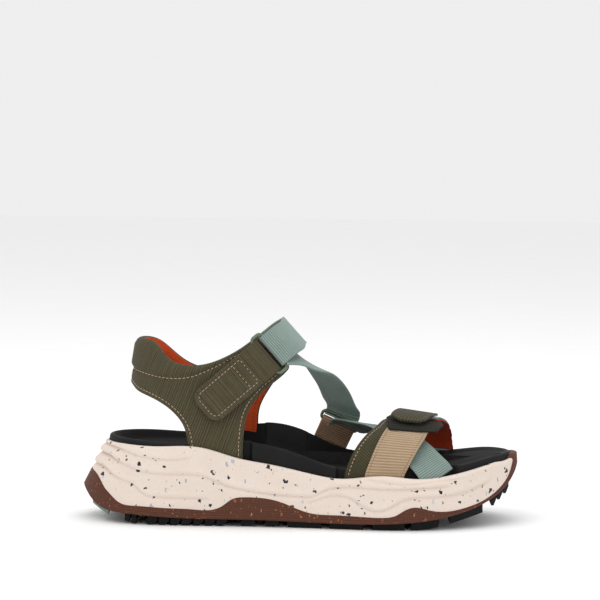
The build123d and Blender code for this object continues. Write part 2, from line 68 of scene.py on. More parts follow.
def spline(points, step=None, count=None, periodic=False):
    """Cubic spline through points (any dimension), sampled evenly by length."""
    p = np.asarray(points, float)
    if periodic:
        p = np.vstack([p, p[:1]])
    t = lengths(p[:, :3])
    n = len(p)
    h = np.diff(t)
    a = np.zeros((n, n))
    b = np.zeros_like(p)
    for i in range(1, n - 1):
        a[i, i - 1], a[i, i], a[i, i + 1] = h[i - 1], 2 * (h[i - 1] + h[i]), h[i]
        b[i] = 6 * ((p[i + 1] - p[i]) / h[i] - (p[i] - p[i - 1]) / h[i - 1])
    if periodic:
        a[0, 0], a[0, 1], a[0, n - 2] = 2 * (h[-1] + h[0]), h[0], h[-1]
        b[0] = 6 * ((p[1] - p[0]) / h[0] - (p[-1] - p[-2]) / h[-1])
        a[n - 1, n - 1], a[n - 1, 0] = 1, -1
    else:
        a[0, 0] = a[n - 1, n - 1] = 1
    m = np.linalg.solve(a, b)

    def at(q):
        i = np.clip(np.searchsorted(t, q, side="right") - 1, 0, n - 2)
        u, v = (q - t[i])[:, None], (t[i + 1] - q)[:, None]
        k = h[i][:, None]
        return (m[i] * v**3 + m[i + 1] * u**3) / (6 * k) + (p[i] / k - m[i] * k / 6) * v + (
            p[i + 1] / k - m[i + 1] * k / 6) * u

    fine = np.linspace(0, t[-1], 60 * n)
    s = lengths(at(fine)[:, :3])
    if count is None:
        count = max(2, int(round(s[-1] / step)) + 1)
    want = np.linspace(0, s[-1], count)
    if periodic:
        want = want[:-1]
    return at(np.interp(want, s, fine))


def graph(points):
    """Smooth function of x through (x, value) points."""
    dense = spline(points, count=600)
    order = np.argsort(dense[:, 0])
    return lambda x: np.interp(x, dense[order, 0], dense[order, 1])


def line(a, b, step):
    return np.linspace(a, b, max(2, int(np.linalg.norm(np.subtract(b, a)) / step) + 1))


def arc(centre, radius, start, end, count=9):
    return [(centre[0] + radius * math.cos(math.radians(a)), centre[1] + radius * math.sin(math.radians(a)))
            for a in np.linspace(start, end, count)]


def rounded(a, corner, b, radius):
    """Short curve cutting the corner between two directions."""
    a, corner, b = map(np.array, (a, corner, b))
    p, q = corner + unit(a - corner) * radius, corner + unit(b - corner) * radius
    t = np.linspace(0, 1, 7)[:, None]
    return (1 - t) ** 2 * p + 2 * t * (1 - t) * corner + t**2 * q


def closed(bends, step=0.8):
    """Outline made of bends and the straight lines between them."""
    path = []
    for bend, after in zip(bends, bends[1:] + bends[:1]):
        path += [*bend[:-1], *line(bend[-1], after[0], step)[:-1]]
    return np.array(path)


def rounded_box(half, length, radius, step=0.8):
    """Outline from -half to half across and from 0 to length along, with round corners."""
    corners = ((1, radius, -90), (1, length - radius, 0), (-1, length - radius, 90), (-1, radius, 180))
    return closed([arc((side * (half - radius), y), radius, turn, turn + 90, 8) for side, y, turn in corners],
                  step)


def path_distance(path, pts):
    best = np.full(len(pts), 1e9)
    for a, b in zip(path[:-1], path[1:]):
        ab = b - a
        t = np.clip(((pts - a) @ ab) / max(ab @ ab, 1e-12), 0, 1)
        best = np.minimum(best, np.linalg.norm(pts - (a + t[:, None] * ab), axis=1))
    return best


def border_distance(outline, pts):
    return path_distance(np.vstack([outline, outline[:1]]), pts)


def contains(outline, pts):
    x, y = pts[:, 0], pts[:, 1]
    hit = np.zeros(len(pts), bool)
    for (x0, y0), (x1, y1) in zip(outline, np.roll(outline, -1, axis=0)):
        if y0 != y1:
            hit ^= ((y0 > y) != (y1 > y)) & (x < (x1 - x0) * (y - y0) / (y1 - y0) + x0)
    return hit


def inward(outline, reach):
    """Normals into a closed outline, from the neighbours at a reach."""
    step = np.roll(outline, -reach, axis=0) - np.roll(outline, reach, axis=0)
    x, y = outline.T
    area = np.sum(x * np.roll(y, -1) - y * np.roll(x, -1))
    return unit(np.stack([-step[:, 1], step[:, 0]], 1)) * (1 if area > 0 else -1)


def inset_outline(outline, by):
    moved = outline + inward(outline, 2) * by
    return moved[border_distance(outline, moved) > 0.98 * by]


def inset_path(path, by, side):
    step = np.gradient(path, axis=0)
    return path - unit(np.stack([-step[:, 1], step[:, 0]], 1)) * by * side


# ---- pieces -----------------------------------------------------------------------------
def piece(name, verts, faces, material, node=None, slot=None, body="sandal", uv=None):
    """A mesh that rides on a body, stands for a CAD node, which it hides, and takes a material; slot is not used."""
    mesh = bpy.data.meshes.new(name)
    mesh.from_pydata((np.asarray(verts, float) * MM).tolist(), [], [list(map(int, f)) for f in faces])
    bm = bmesh.new()
    bm.from_mesh(mesh)
    bmesh.ops.recalc_face_normals(bm, faces=bm.faces)
    bm.to_mesh(mesh)
    bm.free()
    if uv is not None:
        layer = mesh.uv_layers.new(name="UVMap")
        index = np.empty(len(mesh.loops), int)
        mesh.loops.foreach_get("vertex_index", index)
        layer.data.foreach_set("uv", np.asarray(uv, float)[index].ravel())
    mesh.polygons.foreach_set("use_smooth", [True] * len(mesh.polygons))
    mesh.update()
    obj = bpy.data.objects.new(name, mesh)
    bpy.context.scene.collection.objects.link(obj)
    mesh.materials.append(material)
    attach(obj, body)
    if node:
        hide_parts(node)
    return obj


def rings_mesh(rings):
    """Closed skin over stacked closed rings of equal count."""
    n = len(rings[0])
    last = (len(rings) - 1) * n
    faces = [(k + i, k + (i + 1) % n, k + n + (i + 1) % n, k + n + i) for k in range(0, last, n) for i in range(n)]
    faces += [[n - 1 - i for i in range(n)], [last + i for i in range(n)]]
    return np.vstack(rings), faces


def slab(top, bottom, flat):
    """Closed mesh between two sheets of points that share their border. flat is their UV."""
    ni, nj = top.shape[:2]
    upper = np.arange(ni * nj).reshape(ni, nj)
    inner = np.zeros((ni, nj), bool)
    inner[1:-1, 1:-1] = True
    lower = upper.copy()
    lower[inner] = ni * nj + np.arange(inner.sum())
    faces = []
    for grid, order in ((upper, 1), (lower, -1)):
        corners = [c.ravel() for c in (grid[:-1, :-1], grid[:-1, 1:], grid[1:, 1:], grid[1:, :-1])]
        faces += list(zip(*corners[::order]))
    return np.vstack([top.reshape(-1, 3), bottom[inner]]), faces, np.vstack([flat.reshape(-1, 2), flat[inner]])


def across_samples(width, edge, step):
    """Places over a strap's width, close together at its rounded edges, and its height there."""
    turn = np.radians([0, 25, 50, 75])
    near = edge * (1 - np.cos(turn))
    count = max(3, int(round((width - 2 * edge) / step)) + 1)
    middle = np.linspace(edge, width - edge, count)
    u = np.concatenate([near, middle, (width - near)[::-1]])
    lift = np.concatenate([np.sin(turn), np.ones(count), np.sin(turn)[::-1]])
    return u - width / 2, lift


def round_edge(d, edge, height):
    """Height of a rounded edge at a distance from the border."""
    return height * np.sqrt(np.clip(1 - (1 - np.clip(d / edge, 0, 1)) ** 2, 0, 1))


def edge_only(width, height, level=0.0):
    """Heights of a face that is flat inside its rounded edge; negative for a bottom."""
    return lambda p, d: level + round_edge(d, width, height)


def rib(s, pitch):
    return np.abs(np.sin(PI * s / pitch)) ** 0.8


def band(name, stations, material, node, slot, pitch=WEB_PITCH, soften=None):
    """Ribbed webbing through (centre, across) stations, with rounded edges and closed ends.
    soften = (place, reach) eases its bends there. Gives a function for rows across it, and its length."""
    path = spline([[*centre, *unit(np.array(across, float))] for centre, across in stations], step=WEB_STEP)
    centre, across = path[:, :3].copy(), path[:, 3:].copy()
    if soften:
        middle, reach = soften
        n = int(7 / WEB_STEP)
        kernel = np.hanning(2 * n + 1)
        kernel /= kernel.sum()
        far = np.linalg.norm(centre - np.array(middle), axis=1)
        share = (1 - smooth(far, reach * 0.6, reach))[:, None]
        for data in (centre, across):
            blur = [np.convolve(np.pad(data[:, c], n, mode="edge"), kernel, "valid") for c in range(3)]
            data += (np.stack(blur, 1) - data) * share
    along = unit(np.gradient(centre, axis=0))
    across = unit(across - along * np.sum(across * along, axis=1, keepdims=True))
    normal = np.cross(along, across)
    s = lengths(centre)
    u, lift = across_samples(WEB_WIDTH, WEB_HALF, 1.0)
    wide = u[None, :] * (1 + 0.006 * rib(s, pitch))[:, None]
    cap = round_edge(np.minimum(s, s[-1] - s), WEB_HALF, 1)
    high = (WEB_HALF - WEB_RIBS * (1 - rib(s, pitch)))[:, None] * lift[None, :] * cap[:, None]
    mid = centre[:, None] + across[:, None] * wide[..., None]
    rise = normal[:, None] * high[..., None]
    verts, faces, uv = slab(mid + rise, mid - rise, np.stack(np.meshgrid(u, s), -1))
    piece(name, verts, faces, material, node, slot, uv=uv)

    def row(length, off_centre):
        """Points across the band at a length, and the normal there."""
        c, a, n = (columns(length, s, part) for part in (centre, across, normal))
        return c + unit(a) * off_centre[:, None], unit(n)
    return row, s[-1]


def flat_slab(name, outline, place, top, bottom, material, node, slot, edge, spacing, body="sandal"):
    """Closed sheet cut to an outline. place(points, height) gives its points in space; top and bottom
    give heights from points and their distance to the border, where both faces meet."""
    into = inward(outline, 1)
    extra = []
    for turn in (30, 60, 90):
        d = edge * (1 - math.cos(math.radians(turn)))
        ring = outline + into * d
        extra.append(ring[(border_distance(outline, ring) > 0.97 * d) & contains(outline, ring)])
    low, high = outline.min(0), outline.max(0)
    xs = np.arange(low[0], high[0], spacing)
    ys = np.arange(low[1], high[1], spacing * 0.87)
    grid = np.array([(x + (k % 2) * spacing / 2, y) for k, y in enumerate(ys) for x in xs])
    grid = grid[contains(outline, grid)]
    grid = grid[border_distance(outline, grid) > edge + 0.45 * spacing]
    pts = np.vstack([outline] + extra + [grid])
    n = len(outline)
    out = delaunay_2d_cdt([Vector(p) for p in pts.tolist()], [(i, (i + 1) % n) for i in range(n)], [], 1, 1e-5)
    flat = np.array([tuple(v) for v in out[0]])
    faces = [tuple(f) for f in out[2]]
    d = border_distance(outline, flat)
    inner = d >= 1e-4
    high, low = top(flat, d), bottom(flat, d)
    index = np.arange(len(flat))
    index[inner] = len(flat) + np.arange(inner.sum())
    verts = np.vstack([place(flat, high), place(flat, low)[inner]])
    faces += [tuple(index[i] for i in reversed(f)) for f in faces]
    return piece(name, verts, faces, material, node, slot, body, np.vstack([flat, flat[inner]]))


DASH = ((-1, 0.0), (-0.86, 0.62), (-0.4, 1.0), (0.4, 1.0), (0.86, 0.62), (1, 0.0))  # (along, thickness) of a stitch


def stitches(name, path, normals, thread, body="sandal", pitch=2.6, length=1.9, radius=0.21):
    """A row of raised thread dashes along a path."""
    normals = unit(normals)
    s = lengths(path)
    verts, faces = [], []
    count = max(1, int(s[-1] / pitch))
    for k in range(count):
        at = (k + 0.5) * s[-1] / count
        p = columns(np.array([at - length / 2, at, at + length / 2]), s, path)
        n = unit(columns(at, s, normals))
        side = unit(np.cross(unit(p[2] - p[0]), n))
        first = len(verts)
        for w, r in DASH:
            c = p[1] + (p[2] - p[0]) / 2 * w - n * (0.05 + 0.30 * abs(w) ** 4 * radius)
            if r == 0:
                verts.append(c)
                continue
            for a in (m * PI / 3 for m in range(6)):
                verts.append(c + (side * math.cos(a) + n * math.sin(a) * 0.8) * radius * r)
        rows = [first + 1 + 6 * r for r in range(4)]
        last = first + 25
        for m in range(6):
            e = (m + 1) % 6
            faces.append((first, rows[0] + m, rows[0] + e))
            faces += [(a + m, b + m, b + e, a + e) for a, b in zip(rows, rows[1:])]
            faces.append((last, rows[3] + e, rows[3] + m))
    piece(name, np.array(verts), faces, thread, body=body)


def sewn(name, place, path, height, thread, body="sandal", face=1, **dashes):
    """Stitches on a sheet laid by place(points, height); face is -1 on its underside."""
    path = np.asarray(path, float)
    here = place(path, np.full(len(path), height))
    stitches(name, here, here - place(path, np.full(len(path), height - face)), thread, body, **dashes)


# ---- materials --------------------------------------------------------------------------
def srgb(*rgb):
    return [((c / 255 + 0.055) / 1.055) ** 2.4 if c > 10 else c / 255 / 12.92 for c in rgb] + [1.0]


class Look:
    """Small builder for one procedural material."""

    def __init__(self, name, rough=0.8, sheen=0.0, metallic=0.0, coat=0.0, specular=0.4):
        self.mat = bpy.data.materials.new(name)
        self.mat.use_nodes = True
        self.tree = self.mat.node_tree
        self.shader = self.tree.nodes["Principled BSDF"].inputs
        for socket, value in (("Roughness", rough), ("Sheen Weight", sheen), ("Sheen Roughness", 0.6),
                              ("Metallic", metallic), ("Coat Weight", coat), ("Specular IOR Level", specular)):
            self.shader[socket].default_value = value
        coord = self.node("TexCoord", {}, None)
        self.uv = coord["UV"]
        self.xyz = self.node("VectorMath", {0: coord["Object"], "Scale": 1 / MM}, operation="SCALE")

    def put(self, socket, value):
        if isinstance(value, (int, float, list, tuple)):
            socket.default_value = value
        else:
            self.tree.links.new(value, socket)

    def node(self, kind, inputs, out=0, **settings):
        """New node with its settings and inputs; gives one output, or all of them for None."""
        node = self.tree.nodes.new("ShaderNode" + kind)
        for key, value in settings.items():
            setattr(node, key, value)
        for key, value in inputs.items():
            self.put(node.inputs[key], value)
        return node.outputs if out is None else node.outputs[out]

    def math(self, op, a, b=0.0, clamp=False):
        return self.node("Math", {0: a, 1: b}, operation=op, use_clamp=clamp)

    def add(self, a, b, clamp=False):
        return self.math("ADD", a, b, clamp)

    def times(self, a, b):
        return self.math("MULTIPLY", a, b)

    def noise(self, scale, detail=3.0, rough=0.55, out="Fac"):
        inputs = {"Scale": scale, "Detail": detail, "Roughness": rough, "Vector": self.xyz}
        return self.node("TexNoise", inputs, out)

    def mix(self, fac, a, b):
        return self.node("Mix", {0: fac, 6: a, 7: b}, 2, data_type="RGBA")

    def range(self, value, a, b, c=0.0, d=1.0):
        return self.node("MapRange", {0: value, 1: a, 2: b, 3: c, 4: d}, interpolation_type="SMOOTHSTEP")

    def along_uv(self, angle, scale=1.0):
        """Distance over the piece's UV, in millimetres, in a direction."""
        u, v = self.node("SeparateXYZ", {0: self.uv}, None)[:2]
        a = math.radians(angle)
        return self.add(self.times(u, math.cos(a) * scale), self.times(v, math.sin(a) * scale))

    def wave(self, angle, pitch):
        """Sine lines over the piece's UV; angle is the lines' normal."""
        return self.add(self.times(self.math("SINE", self.along_uv(angle, 2 * PI / pitch)), 0.5), 0.5)

    def chips(self, cell, keep, size, seed, stretch, warp, metric="CHEBYCHEV"):
        """Mask of scattered angular chips; cell in mm, keep the share of cells with a chip."""
        bend = self.noise(1.0 / cell * 1.6, 2.0, out="Color")
        place = self.node("VectorMath", {0: bend, 1: (warp * cell,) * 3, 2: self.xyz}, operation="MULTIPLY_ADD")
        place = self.node("VectorMath", {0: place, 1: stretch, 2: (seed, seed * 1.7, seed * 2.3)},
                          operation="MULTIPLY_ADD")
        cells = self.node("TexVoronoi", {"Scale": 1.0 / cell, "Vector": place}, None, distance=metric)
        pick = self.node("SeparateXYZ", {0: cells["Color"]}, None)
        limit = self.add(self.times(self.math("POWER", pick[1], 1.8), size), size * 0.25)
        near = self.math("LESS_THAN", cells["Distance"], limit)
        return self.times(near, self.math("LESS_THAN", pick[0], keep)), pick[2]

    def bump(self, height, distance, strength=1.0, after=None):
        inputs = {"Distance": distance * MM, "Strength": strength, "Height": height}
        return self.node("Bump", inputs if after is None else {**inputs, "Normal": after})

    def done(self, color, normal=None, rough=None):
        for socket, value in (("Base Color", color), ("Normal", normal), ("Roughness", rough)):
            if value is not None:
                self.put(self.shader[socket], value)
        return self.mat


def fabric(name, dark, light, waves, fuzz=0.25, depth=0.16, mottle=0.35, streak=None):
    """Woven cloth; waves are (angle, pitch, weight) line sets over the UV."""
    k = Look(name, rough=0.88, sheen=0.05, specular=0.25)
    weave = None
    for angle, pitch, weight in waves:
        lines = k.times(k.wave(angle, pitch), weight)
        weave = lines if weave is None else k.add(weave, lines)
    fine = k.noise(2.6, 4.0)
    tone = k.add(weave, k.times(k.math("SUBTRACT", fine, 0.5), fuzz * 4))
    if streak:
        angle, pitch = streak
        yarn = k.node("TexNoise", {"Scale": 1.0 / pitch, "Detail": 2.0, "W": k.along_uv(angle)}, "Fac",
                      noise_dimensions="1D")
        tone = k.add(tone, k.times(k.math("SUBTRACT", yarn, 0.5), 0.9))
    tone = k.add(tone, k.times(k.math("SUBTRACT", k.noise(0.09), 0.5), mottle), clamp=True)
    return k.done(k.mix(tone, srgb(*dark), srgb(*light)), k.bump(weave, depth, after=k.bump(fine, 0.12)))


def foam_look():
    k = Look("eva_speckled", rough=0.62, specular=0.3)
    grain = k.noise(1.1, 5.0, rough=0.7)
    color = k.mix(k.noise(0.05), srgb(222, 206, 194), srgb(231, 217, 206))
    color = k.mix(k.range(grain, 0.35, 0.7), k.mix(0.25, color, srgb(202, 186, 174)), color)
    black = (srgb(22, 22, 24), srgb(48, 52, 58), 1.0)
    blue = (srgb(128, 146, 162), srgb(184, 194, 202), 0.75)
    for cell, keep, size, seed, (dark, light, cover), metric, stretch in (
            (6.4, 0.80, 0.16, 3.0, black, "CHEBYCHEV", (1, 1, 1)),
            (4.6, 0.75, 0.20, 11.0, black, "MANHATTAN", (1, 1, 0.6)),
            (3.4, 0.50, 0.17, 57.0, black, "CHEBYCHEV", (0.6, 1, 1)),
            (2.6, 0.55, 0.19, 27.0, blue, "MANHATTAN", (1, 1, 0.7)),
            (4.2, 0.55, 0.17, 41.0, blue, "CHEBYCHEV", (1, 1, 0.5))):
        mask, shade = k.chips(cell, keep, size, seed, stretch, 0.75, metric)
        color = k.mix(k.times(mask, cover), color, k.mix(shade, dark, light))
    return k.done(color, k.bump(grain, 0.10, after=k.bump(k.noise(0.35, 4.0), 0.25, 0.6)))


def rubber_look():
    k = Look("rubber_flecked", rough=0.6, specular=0.35)
    grain = k.noise(0.8, 5.0, rough=0.65)
    color = k.mix(grain, srgb(54, 24, 12), srgb(102, 54, 30))
    for cell, keep, size, seed, dark, light, stretch in (
            (2.2, 0.34, 0.20, 5.0, srgb(150, 74, 34), srgb(176, 96, 46), (1, 1, 0.6)),
            (3.6, 0.30, 0.16, 17.0, srgb(190, 138, 84), srgb(206, 110, 52), (1.2, 1.2, 0.45)),
            (1.5, 0.24, 0.22, 33.0, srgb(196, 140, 92), srgb(122, 70, 44), (1, 1, 1))):
        mask, shade = k.chips(cell, keep, size, seed, stretch, 0.7)
        color = k.mix(k.times(mask, 0.85), color, k.mix(shade, dark, light))
    return k.done(color, k.bump(grain, 0.12))


def moulded(name, dark, light, rough=0.7, grain=1.4, depth=0.06, specular=0.35, scuff=None):
    k = Look(name, rough=rough, specular=specular)
    fine = k.noise(grain, 5.0, rough=0.65)
    broad = k.noise(0.07)
    color = k.mix(k.add(k.times(fine, 0.6), k.times(broad, 0.4)), srgb(*dark), srgb(*light))
    if scuff:
        color = k.mix(k.range(k.noise(0.4, 6.0, rough=0.8), 0.60, 0.78, 0, 0.6), color, srgb(*scuff))
    return k.done(color, k.bump(fine, depth), k.range(broad, 0.3, 0.7, rough - 0.06, rough + 0.08))


def cover_look():
    k = Look("footbed_microfibre", rough=0.92, sheen=0.03, specular=0.15)
    fine = k.noise(2.2, 4.0, rough=0.7)
    color = k.mix(fine, srgb(8, 7, 7), srgb(24, 21, 21))
    color = k.mix(k.range(k.noise(0.16, 4.0), 0.45, 0.75, 0, 0.3), color, srgb(34, 30, 29))
    return k.done(color, k.bump(fine, 0.10))


def thread_look(name, dark, light):
    k = Look(name, rough=0.7, sheen=0.2)
    twist = k.noise(3.0, 2.0)
    return k.done(k.mix(twist, srgb(*dark), srgb(*light)), k.bump(twist, 0.08))


def wire_look():
    k = Look("ring_enamel", rough=0.38, metallic=0.25, coat=0.25, specular=0.5)
    worn = k.noise(0.5, 5.0, rough=0.7)
    enamel = k.mix(k.noise(0.2), srgb(74, 88, 68), srgb(104, 120, 96))
    color = k.mix(k.range(worn, 0.62, 0.80, 0, 0.8), enamel, srgb(140, 146, 132))
    return k.done(color, k.bump(worn, 0.03), k.range(worn, 0.3, 0.8, 0.32, 0.5))


FOAM = foam_look()
RUBBER = rubber_look()
BLACK = moulded("rubber_black", (7, 7, 7), (20, 19, 19), rough=0.65, scuff=(40, 38, 36), specular=0.2)
GREEN = moulded("rubber_green", (96, 116, 104), (132, 150, 138), rough=0.6, scuff=(156, 168, 156))
PLASTIC = moulded("nylon_shank", (196, 188, 172), (222, 214, 200), rough=0.5)
BOARD = moulded("fibre_board", (140, 116, 84), (182, 156, 120), rough=0.9, grain=3.0, depth=0.15)
BED = moulded("footbed_foam", (9, 9, 9), (20, 19, 19), rough=0.6, grain=1.8, depth=0.04, specular=0.22)
COVER = cover_look()
OLIVE = fabric("quarter_weave", (38, 35, 20), (98, 91, 66), [(20, 1.5, 0.30), (-62, 0.75, 0.36), (70, 0.6, 0.2)],
               streak=(20, 0.9), mottle=0.25)
OLIVE_TAB = fabric("tab_weave", (40, 36, 21), (100, 92, 68), [(90, 0.9, 0.45), (0, 0.8, 0.4)], streak=(90, 1.2))
OLIVE_BASE = fabric("base_twill", (36, 34, 19), (90, 84, 58), [(58, 1.1, 0.4), (-40, 0.7, 0.3)])
OLIVE_FORE = fabric("forefoot_tab_weave", (30, 28, 14), (84, 77, 52), [(-18, 1.9, 0.5), (70, 0.8, 0.3)])
KNIT = [(0, 0.8, 0.3), (90, 0.8, 0.3)]
ORANGE = fabric("lining_knit", (172, 54, 14), (236, 102, 40), KNIT, fuzz=0.12, depth=0.08)
# the orange lining again, painted darker and redder: painted shade for the straps' shaded undersides
ORANGE_IN_PAINTED_SHADE = fabric("strap_lining_knit_painted_shade", (140, 38, 12), (206, 76, 30), KNIT, fuzz=0.12, depth=0.08)
PAD = fabric("padding_open_cell", (150, 140, 112), (200, 192, 166), [(0, 1.2, 0.3), (90, 1.2, 0.3)])
TEAL = fabric("webbing_teal_rib", (88, 106, 100), (164, 181, 174), [(90, 1.3, 0.5), (0, 0.55, 0.3)], 0.14, mottle=0.2)
TAN = fabric("webbing_tan_rib", (132, 108, 82), (203, 178, 148), [(90, 1.6, 0.5), (0, 0.55, 0.3)], 0.14, mottle=0.2)
# the midfoot loop's tan webbing with painted shade: darker and browner than TAN for the shade on the far side
LOOP_TAN_IN_PAINTED_SHADE = fabric("webbing_loop_tan_rib_painted_shade", (108, 82, 62), (196, 164, 134), [(90, 1.5, 0.5), (0, 0.5, 0.3)], 0.16, mottle=0.2)
FUZZ = fabric("loop_pile", (8, 8, 4), (40, 38, 22), [(31, 0.7, 0.3), (-47, 0.6, 0.3)], 0.5, depth=0.3)
HOOKS = fabric("hook_tape", (20, 21, 13), (58, 58, 40), [(0, 1.1, 0.4), (90, 1.1, 0.4)], 0.3, depth=0.3)
PINK = thread_look("thread_pink", (176, 140, 118), (218, 186, 164))
DARK = thread_look("thread_dark", (26, 22, 18), (58, 50, 42))
UMBER = thread_look("thread_umber", (88, 62, 42), (124, 94, 68))
WIRE = wire_look()

# ---- sole -------------------------------------------------------------------------------
OUTLINE = [(-135, 0), (-127, -20), (-108, -33.5), (-75, -39), (-30, -40), (10, -43.6), (58, -49), (92, -42.5),
           (120, -24), (136, 2), (126, 28.5), (100, 43.5), (66, 49), (20, 43.4), (-30, 37), (-75, 37.5),
           (-108, 33), (-127, 20)]
sole_bottom = graph([(-136, 21), (-124, 9.6), (-108, 6.6), (-80, 5), (-30, 4.4), (60, 4.4), (80, 6.4), (100, 10.6),
                     (120, 18.5), (134, 32), (136, 36)])
sole_top = graph([(-136, 48.6), (-121, 48.6), (-92, 48.4), (-62, 48), (-41, 42.3), (-20, 38.6), (8, 33), (24, 30.9),
                  (52, 33.2), (70, 31.6), (100, 34.3), (136, 42.2)])
wrap_top = graph([(-150, 32), (-136, 31), (-129.8, 28.9), (-123, 23.4), (-117, 18), (-110, 13), (-100, 11.9),
                  (-83, 11.2), (-66, 10.7), (-54, 10.6), (-48, 12.8), (-42, 17.2), (-34, 18.6), (-12, 16), (-1, 11.8),
                  (6, 9.8), (20, 9.1), (38, 8.6), (50, 8.4), (57, 9.6), (63, 13), (69, 14.8), (78, 13), (87, 11.9),
                  (101, 13.8), (112, 17.2), (122, 23), (130, 32), (134, 42), (150, 60)])
recess_floor = graph([(-150, 42), (-110, 41.5), (-80, 41), (-60, 39.5), (-38, 35), (0, 29), (25, 26.5), (70, 26.5),
                      (100, 29), (120, 33), (150, 39)])
rim_lateral = graph([(-150, 50.6), (-92, 50.2), (-65, 50.3), (-42, 52.2), (-22, 50), (0, 44.3), (15, 39.4),
                     (32, 36.2), (70, 36.4), (106, 39.6), (124, 42.6), (150, 43.6)])
rim_medial = graph([(-150, 50.9), (-92, 50), (-60, 50.4), (-40, 54.3), (-22, 56), (-4, 53), (12, 46.4), (30, 39.4),
                    (60, 37.4), (85, 38), (106, 40.2), (124, 42.9), (150, 43.6)])
dish_floor = graph([(-150, 44.4), (-110, 44.2), (-80, 44), (-60, 43.8), (-40, 42.6), (-20, 39.5), (0, 35.6),
                    (15, 33.4), (32, 32.4), (70, 32.6), (106, 36), (124, 39), (150, 42)])
around = spline(OUTLINE, count=641, periodic=True)
X0, Y0 = around[:, 0], around[:, 1]
BACK = np.maximum(0, (-60 - X0) / 75) ** 1.5         # 0 from the midfoot on, 1 at the heel
CLOSE_IN = (0.02, 0.5, 0.9)                          # rings that close a face towards the middle line
ROUND = [math.radians(a) for a in (22, 45, 68, 90)]
WELL = 10.5                                          # the footbed's well starts this much further from the heel


def plan(inset, pull=0.0, narrow=1.0):
    """The sole's outline drawn in; narrow squeezes it to the middle line."""
    return X0 * (1 - inset / 135) + pull * BACK, Y0 * (1 - inset / 45) * narrow


def wall(z, proud=0.0):
    """Ring on the sole's side at heights z, standing proud by a distance."""
    x, y = plan(-1.8 + 4.6 * z / 56 - proud, 0.42 * np.maximum(0, z - 21))
    return np.stack([x, y, z], 1)


def flat_ring(inset, pull, z, narrow=1.0):
    x, y = plan(inset, pull, narrow)
    return np.stack([x, y, np.broadcast_to(z, x.shape)], 1)


def disc(inset, pull, z, shares=CLOSE_IN):
    return [flat_ring(inset, pull, z, share) for share in shares]


# Lines carved in the midsole's side: (x, z) points, depth, and where the heel's share of it ends.
LINES = [([(-140, 46.5), (-121.4, 45.3), (-106.8, 42.0), (-90.5, 40.1), (-75, 40.4), (-64, 42.6)], 0.75, -110),
         ([(-140, 40.5), (-125.7, 40.2), (-121, 38.5), (-111.6, 35.4), (-96.2, 31.9), (-74.8, 31.3), (-61.1, 30.4),
           (-53.4, 27.7), (-44.8, 24.5), (-27.7, 21.1), (-14.9, 19.6), (-0.5, 18.9), (6.8, 19.4), (15.7, 23.7),
           (29, 25.7), (50.4, 25), (73.6, 25.8), (95, 27)], 0.85, -100),
         ([(-140, 33.4), (-126.1, 32.9), (-120.9, 30.3), (-113.2, 27), (-102.9, 23.7), (-96, 18.6), (-87.4, 17),
           (-70.4, 16.7), (-53.3, 16.5)], 0.75, -90),
         ([(0, 15.5), (6.9, 16.4), (15.7, 19.5), (23.7, 20.2), (30.9, 18.5), (38.1, 13.7), (47, 11.5), (55, 14.3),
           (61.2, 18), (73.6, 20.2), (89.6, 21), (108, 25), (122, 31)], 0.75, 0),
         ([(18, 28), (26.3, 30.2), (36, 31.4), (48.5, 29.6), (61, 28.2), (82.4, 30), (104, 31.5)], 0.55, 0)]
CARVED = [(graph(points), points[0][0], points[-1][0], depth, heel) for points, depth, heel in LINES]


def carve(z):
    """How far the midsole's side swells or dips at heights z."""
    out = np.zeros_like(z)
    for line, start, end, depth, heel in CARVED:
        t = z - line(X0)
        fade = smooth(X0, start - 0.01, start + 8) if start > -139 else np.ones_like(X0)
        fade = fade * (1 - smooth(X0, end - 10, end))
        deep = depth * (1 + 1.1 * (1 - smooth(X0, -128, -112)) * (start < -139))
        crease = -np.exp(-(np.clip(-t, 0, None) / 1.1) ** 2 - (np.clip(t, 0, None) / 0.55) ** 2)
        swell = 0.75 * np.exp(-((t - 2.6) / 1.9) ** 2) * (t > 0) * (1 - np.exp(-(t / 0.8) ** 2))
        out = out + deep * fade * (crease + swell)
    return out


low, brim = sole_bottom(X0), np.minimum(wrap_top(X0), sole_top(X0) + 0.9)
rings = disc(4.3, 0, low + 3.0)
rings += [flat_ring(4.3, 0, low + 3.0), flat_ring(3.4, 0, np.minimum(low + 3.4, brim - 0.5))]
toe = smooth(X0, 122, 130)
rings += [wall(brim - 0.7, -1.6 - 2.2 * toe), wall(brim - 0.15, -0.9 - 2.4 * toe), wall(brim, -0.5),
          wall(brim - 0.25, 0.2), wall(brim - 0.45, 0.4)]
for f in np.linspace(0, 1, 46):
    z = brim - 0.6 + (low + 1.1 - brim + 0.6) * f
    depth = 0.26 * np.exp(-((((z - low) % 1.55) - 0.75) / 0.34) ** 2) * smooth(z - low, 0.8, 2.0)
    rings.append(wall(z, 0.45 - depth))
rings += [wall(low + 0.5, 0.1), wall(low + 0.14, -0.5), wall(low, -1.3)]
rings += disc(3.0, 0, low, (0.9, 0.6, 0.3, 0.02))
piece("outsole_skin", *rings_mesh(rings), RUBBER, "outsole", "outsole_rubber")

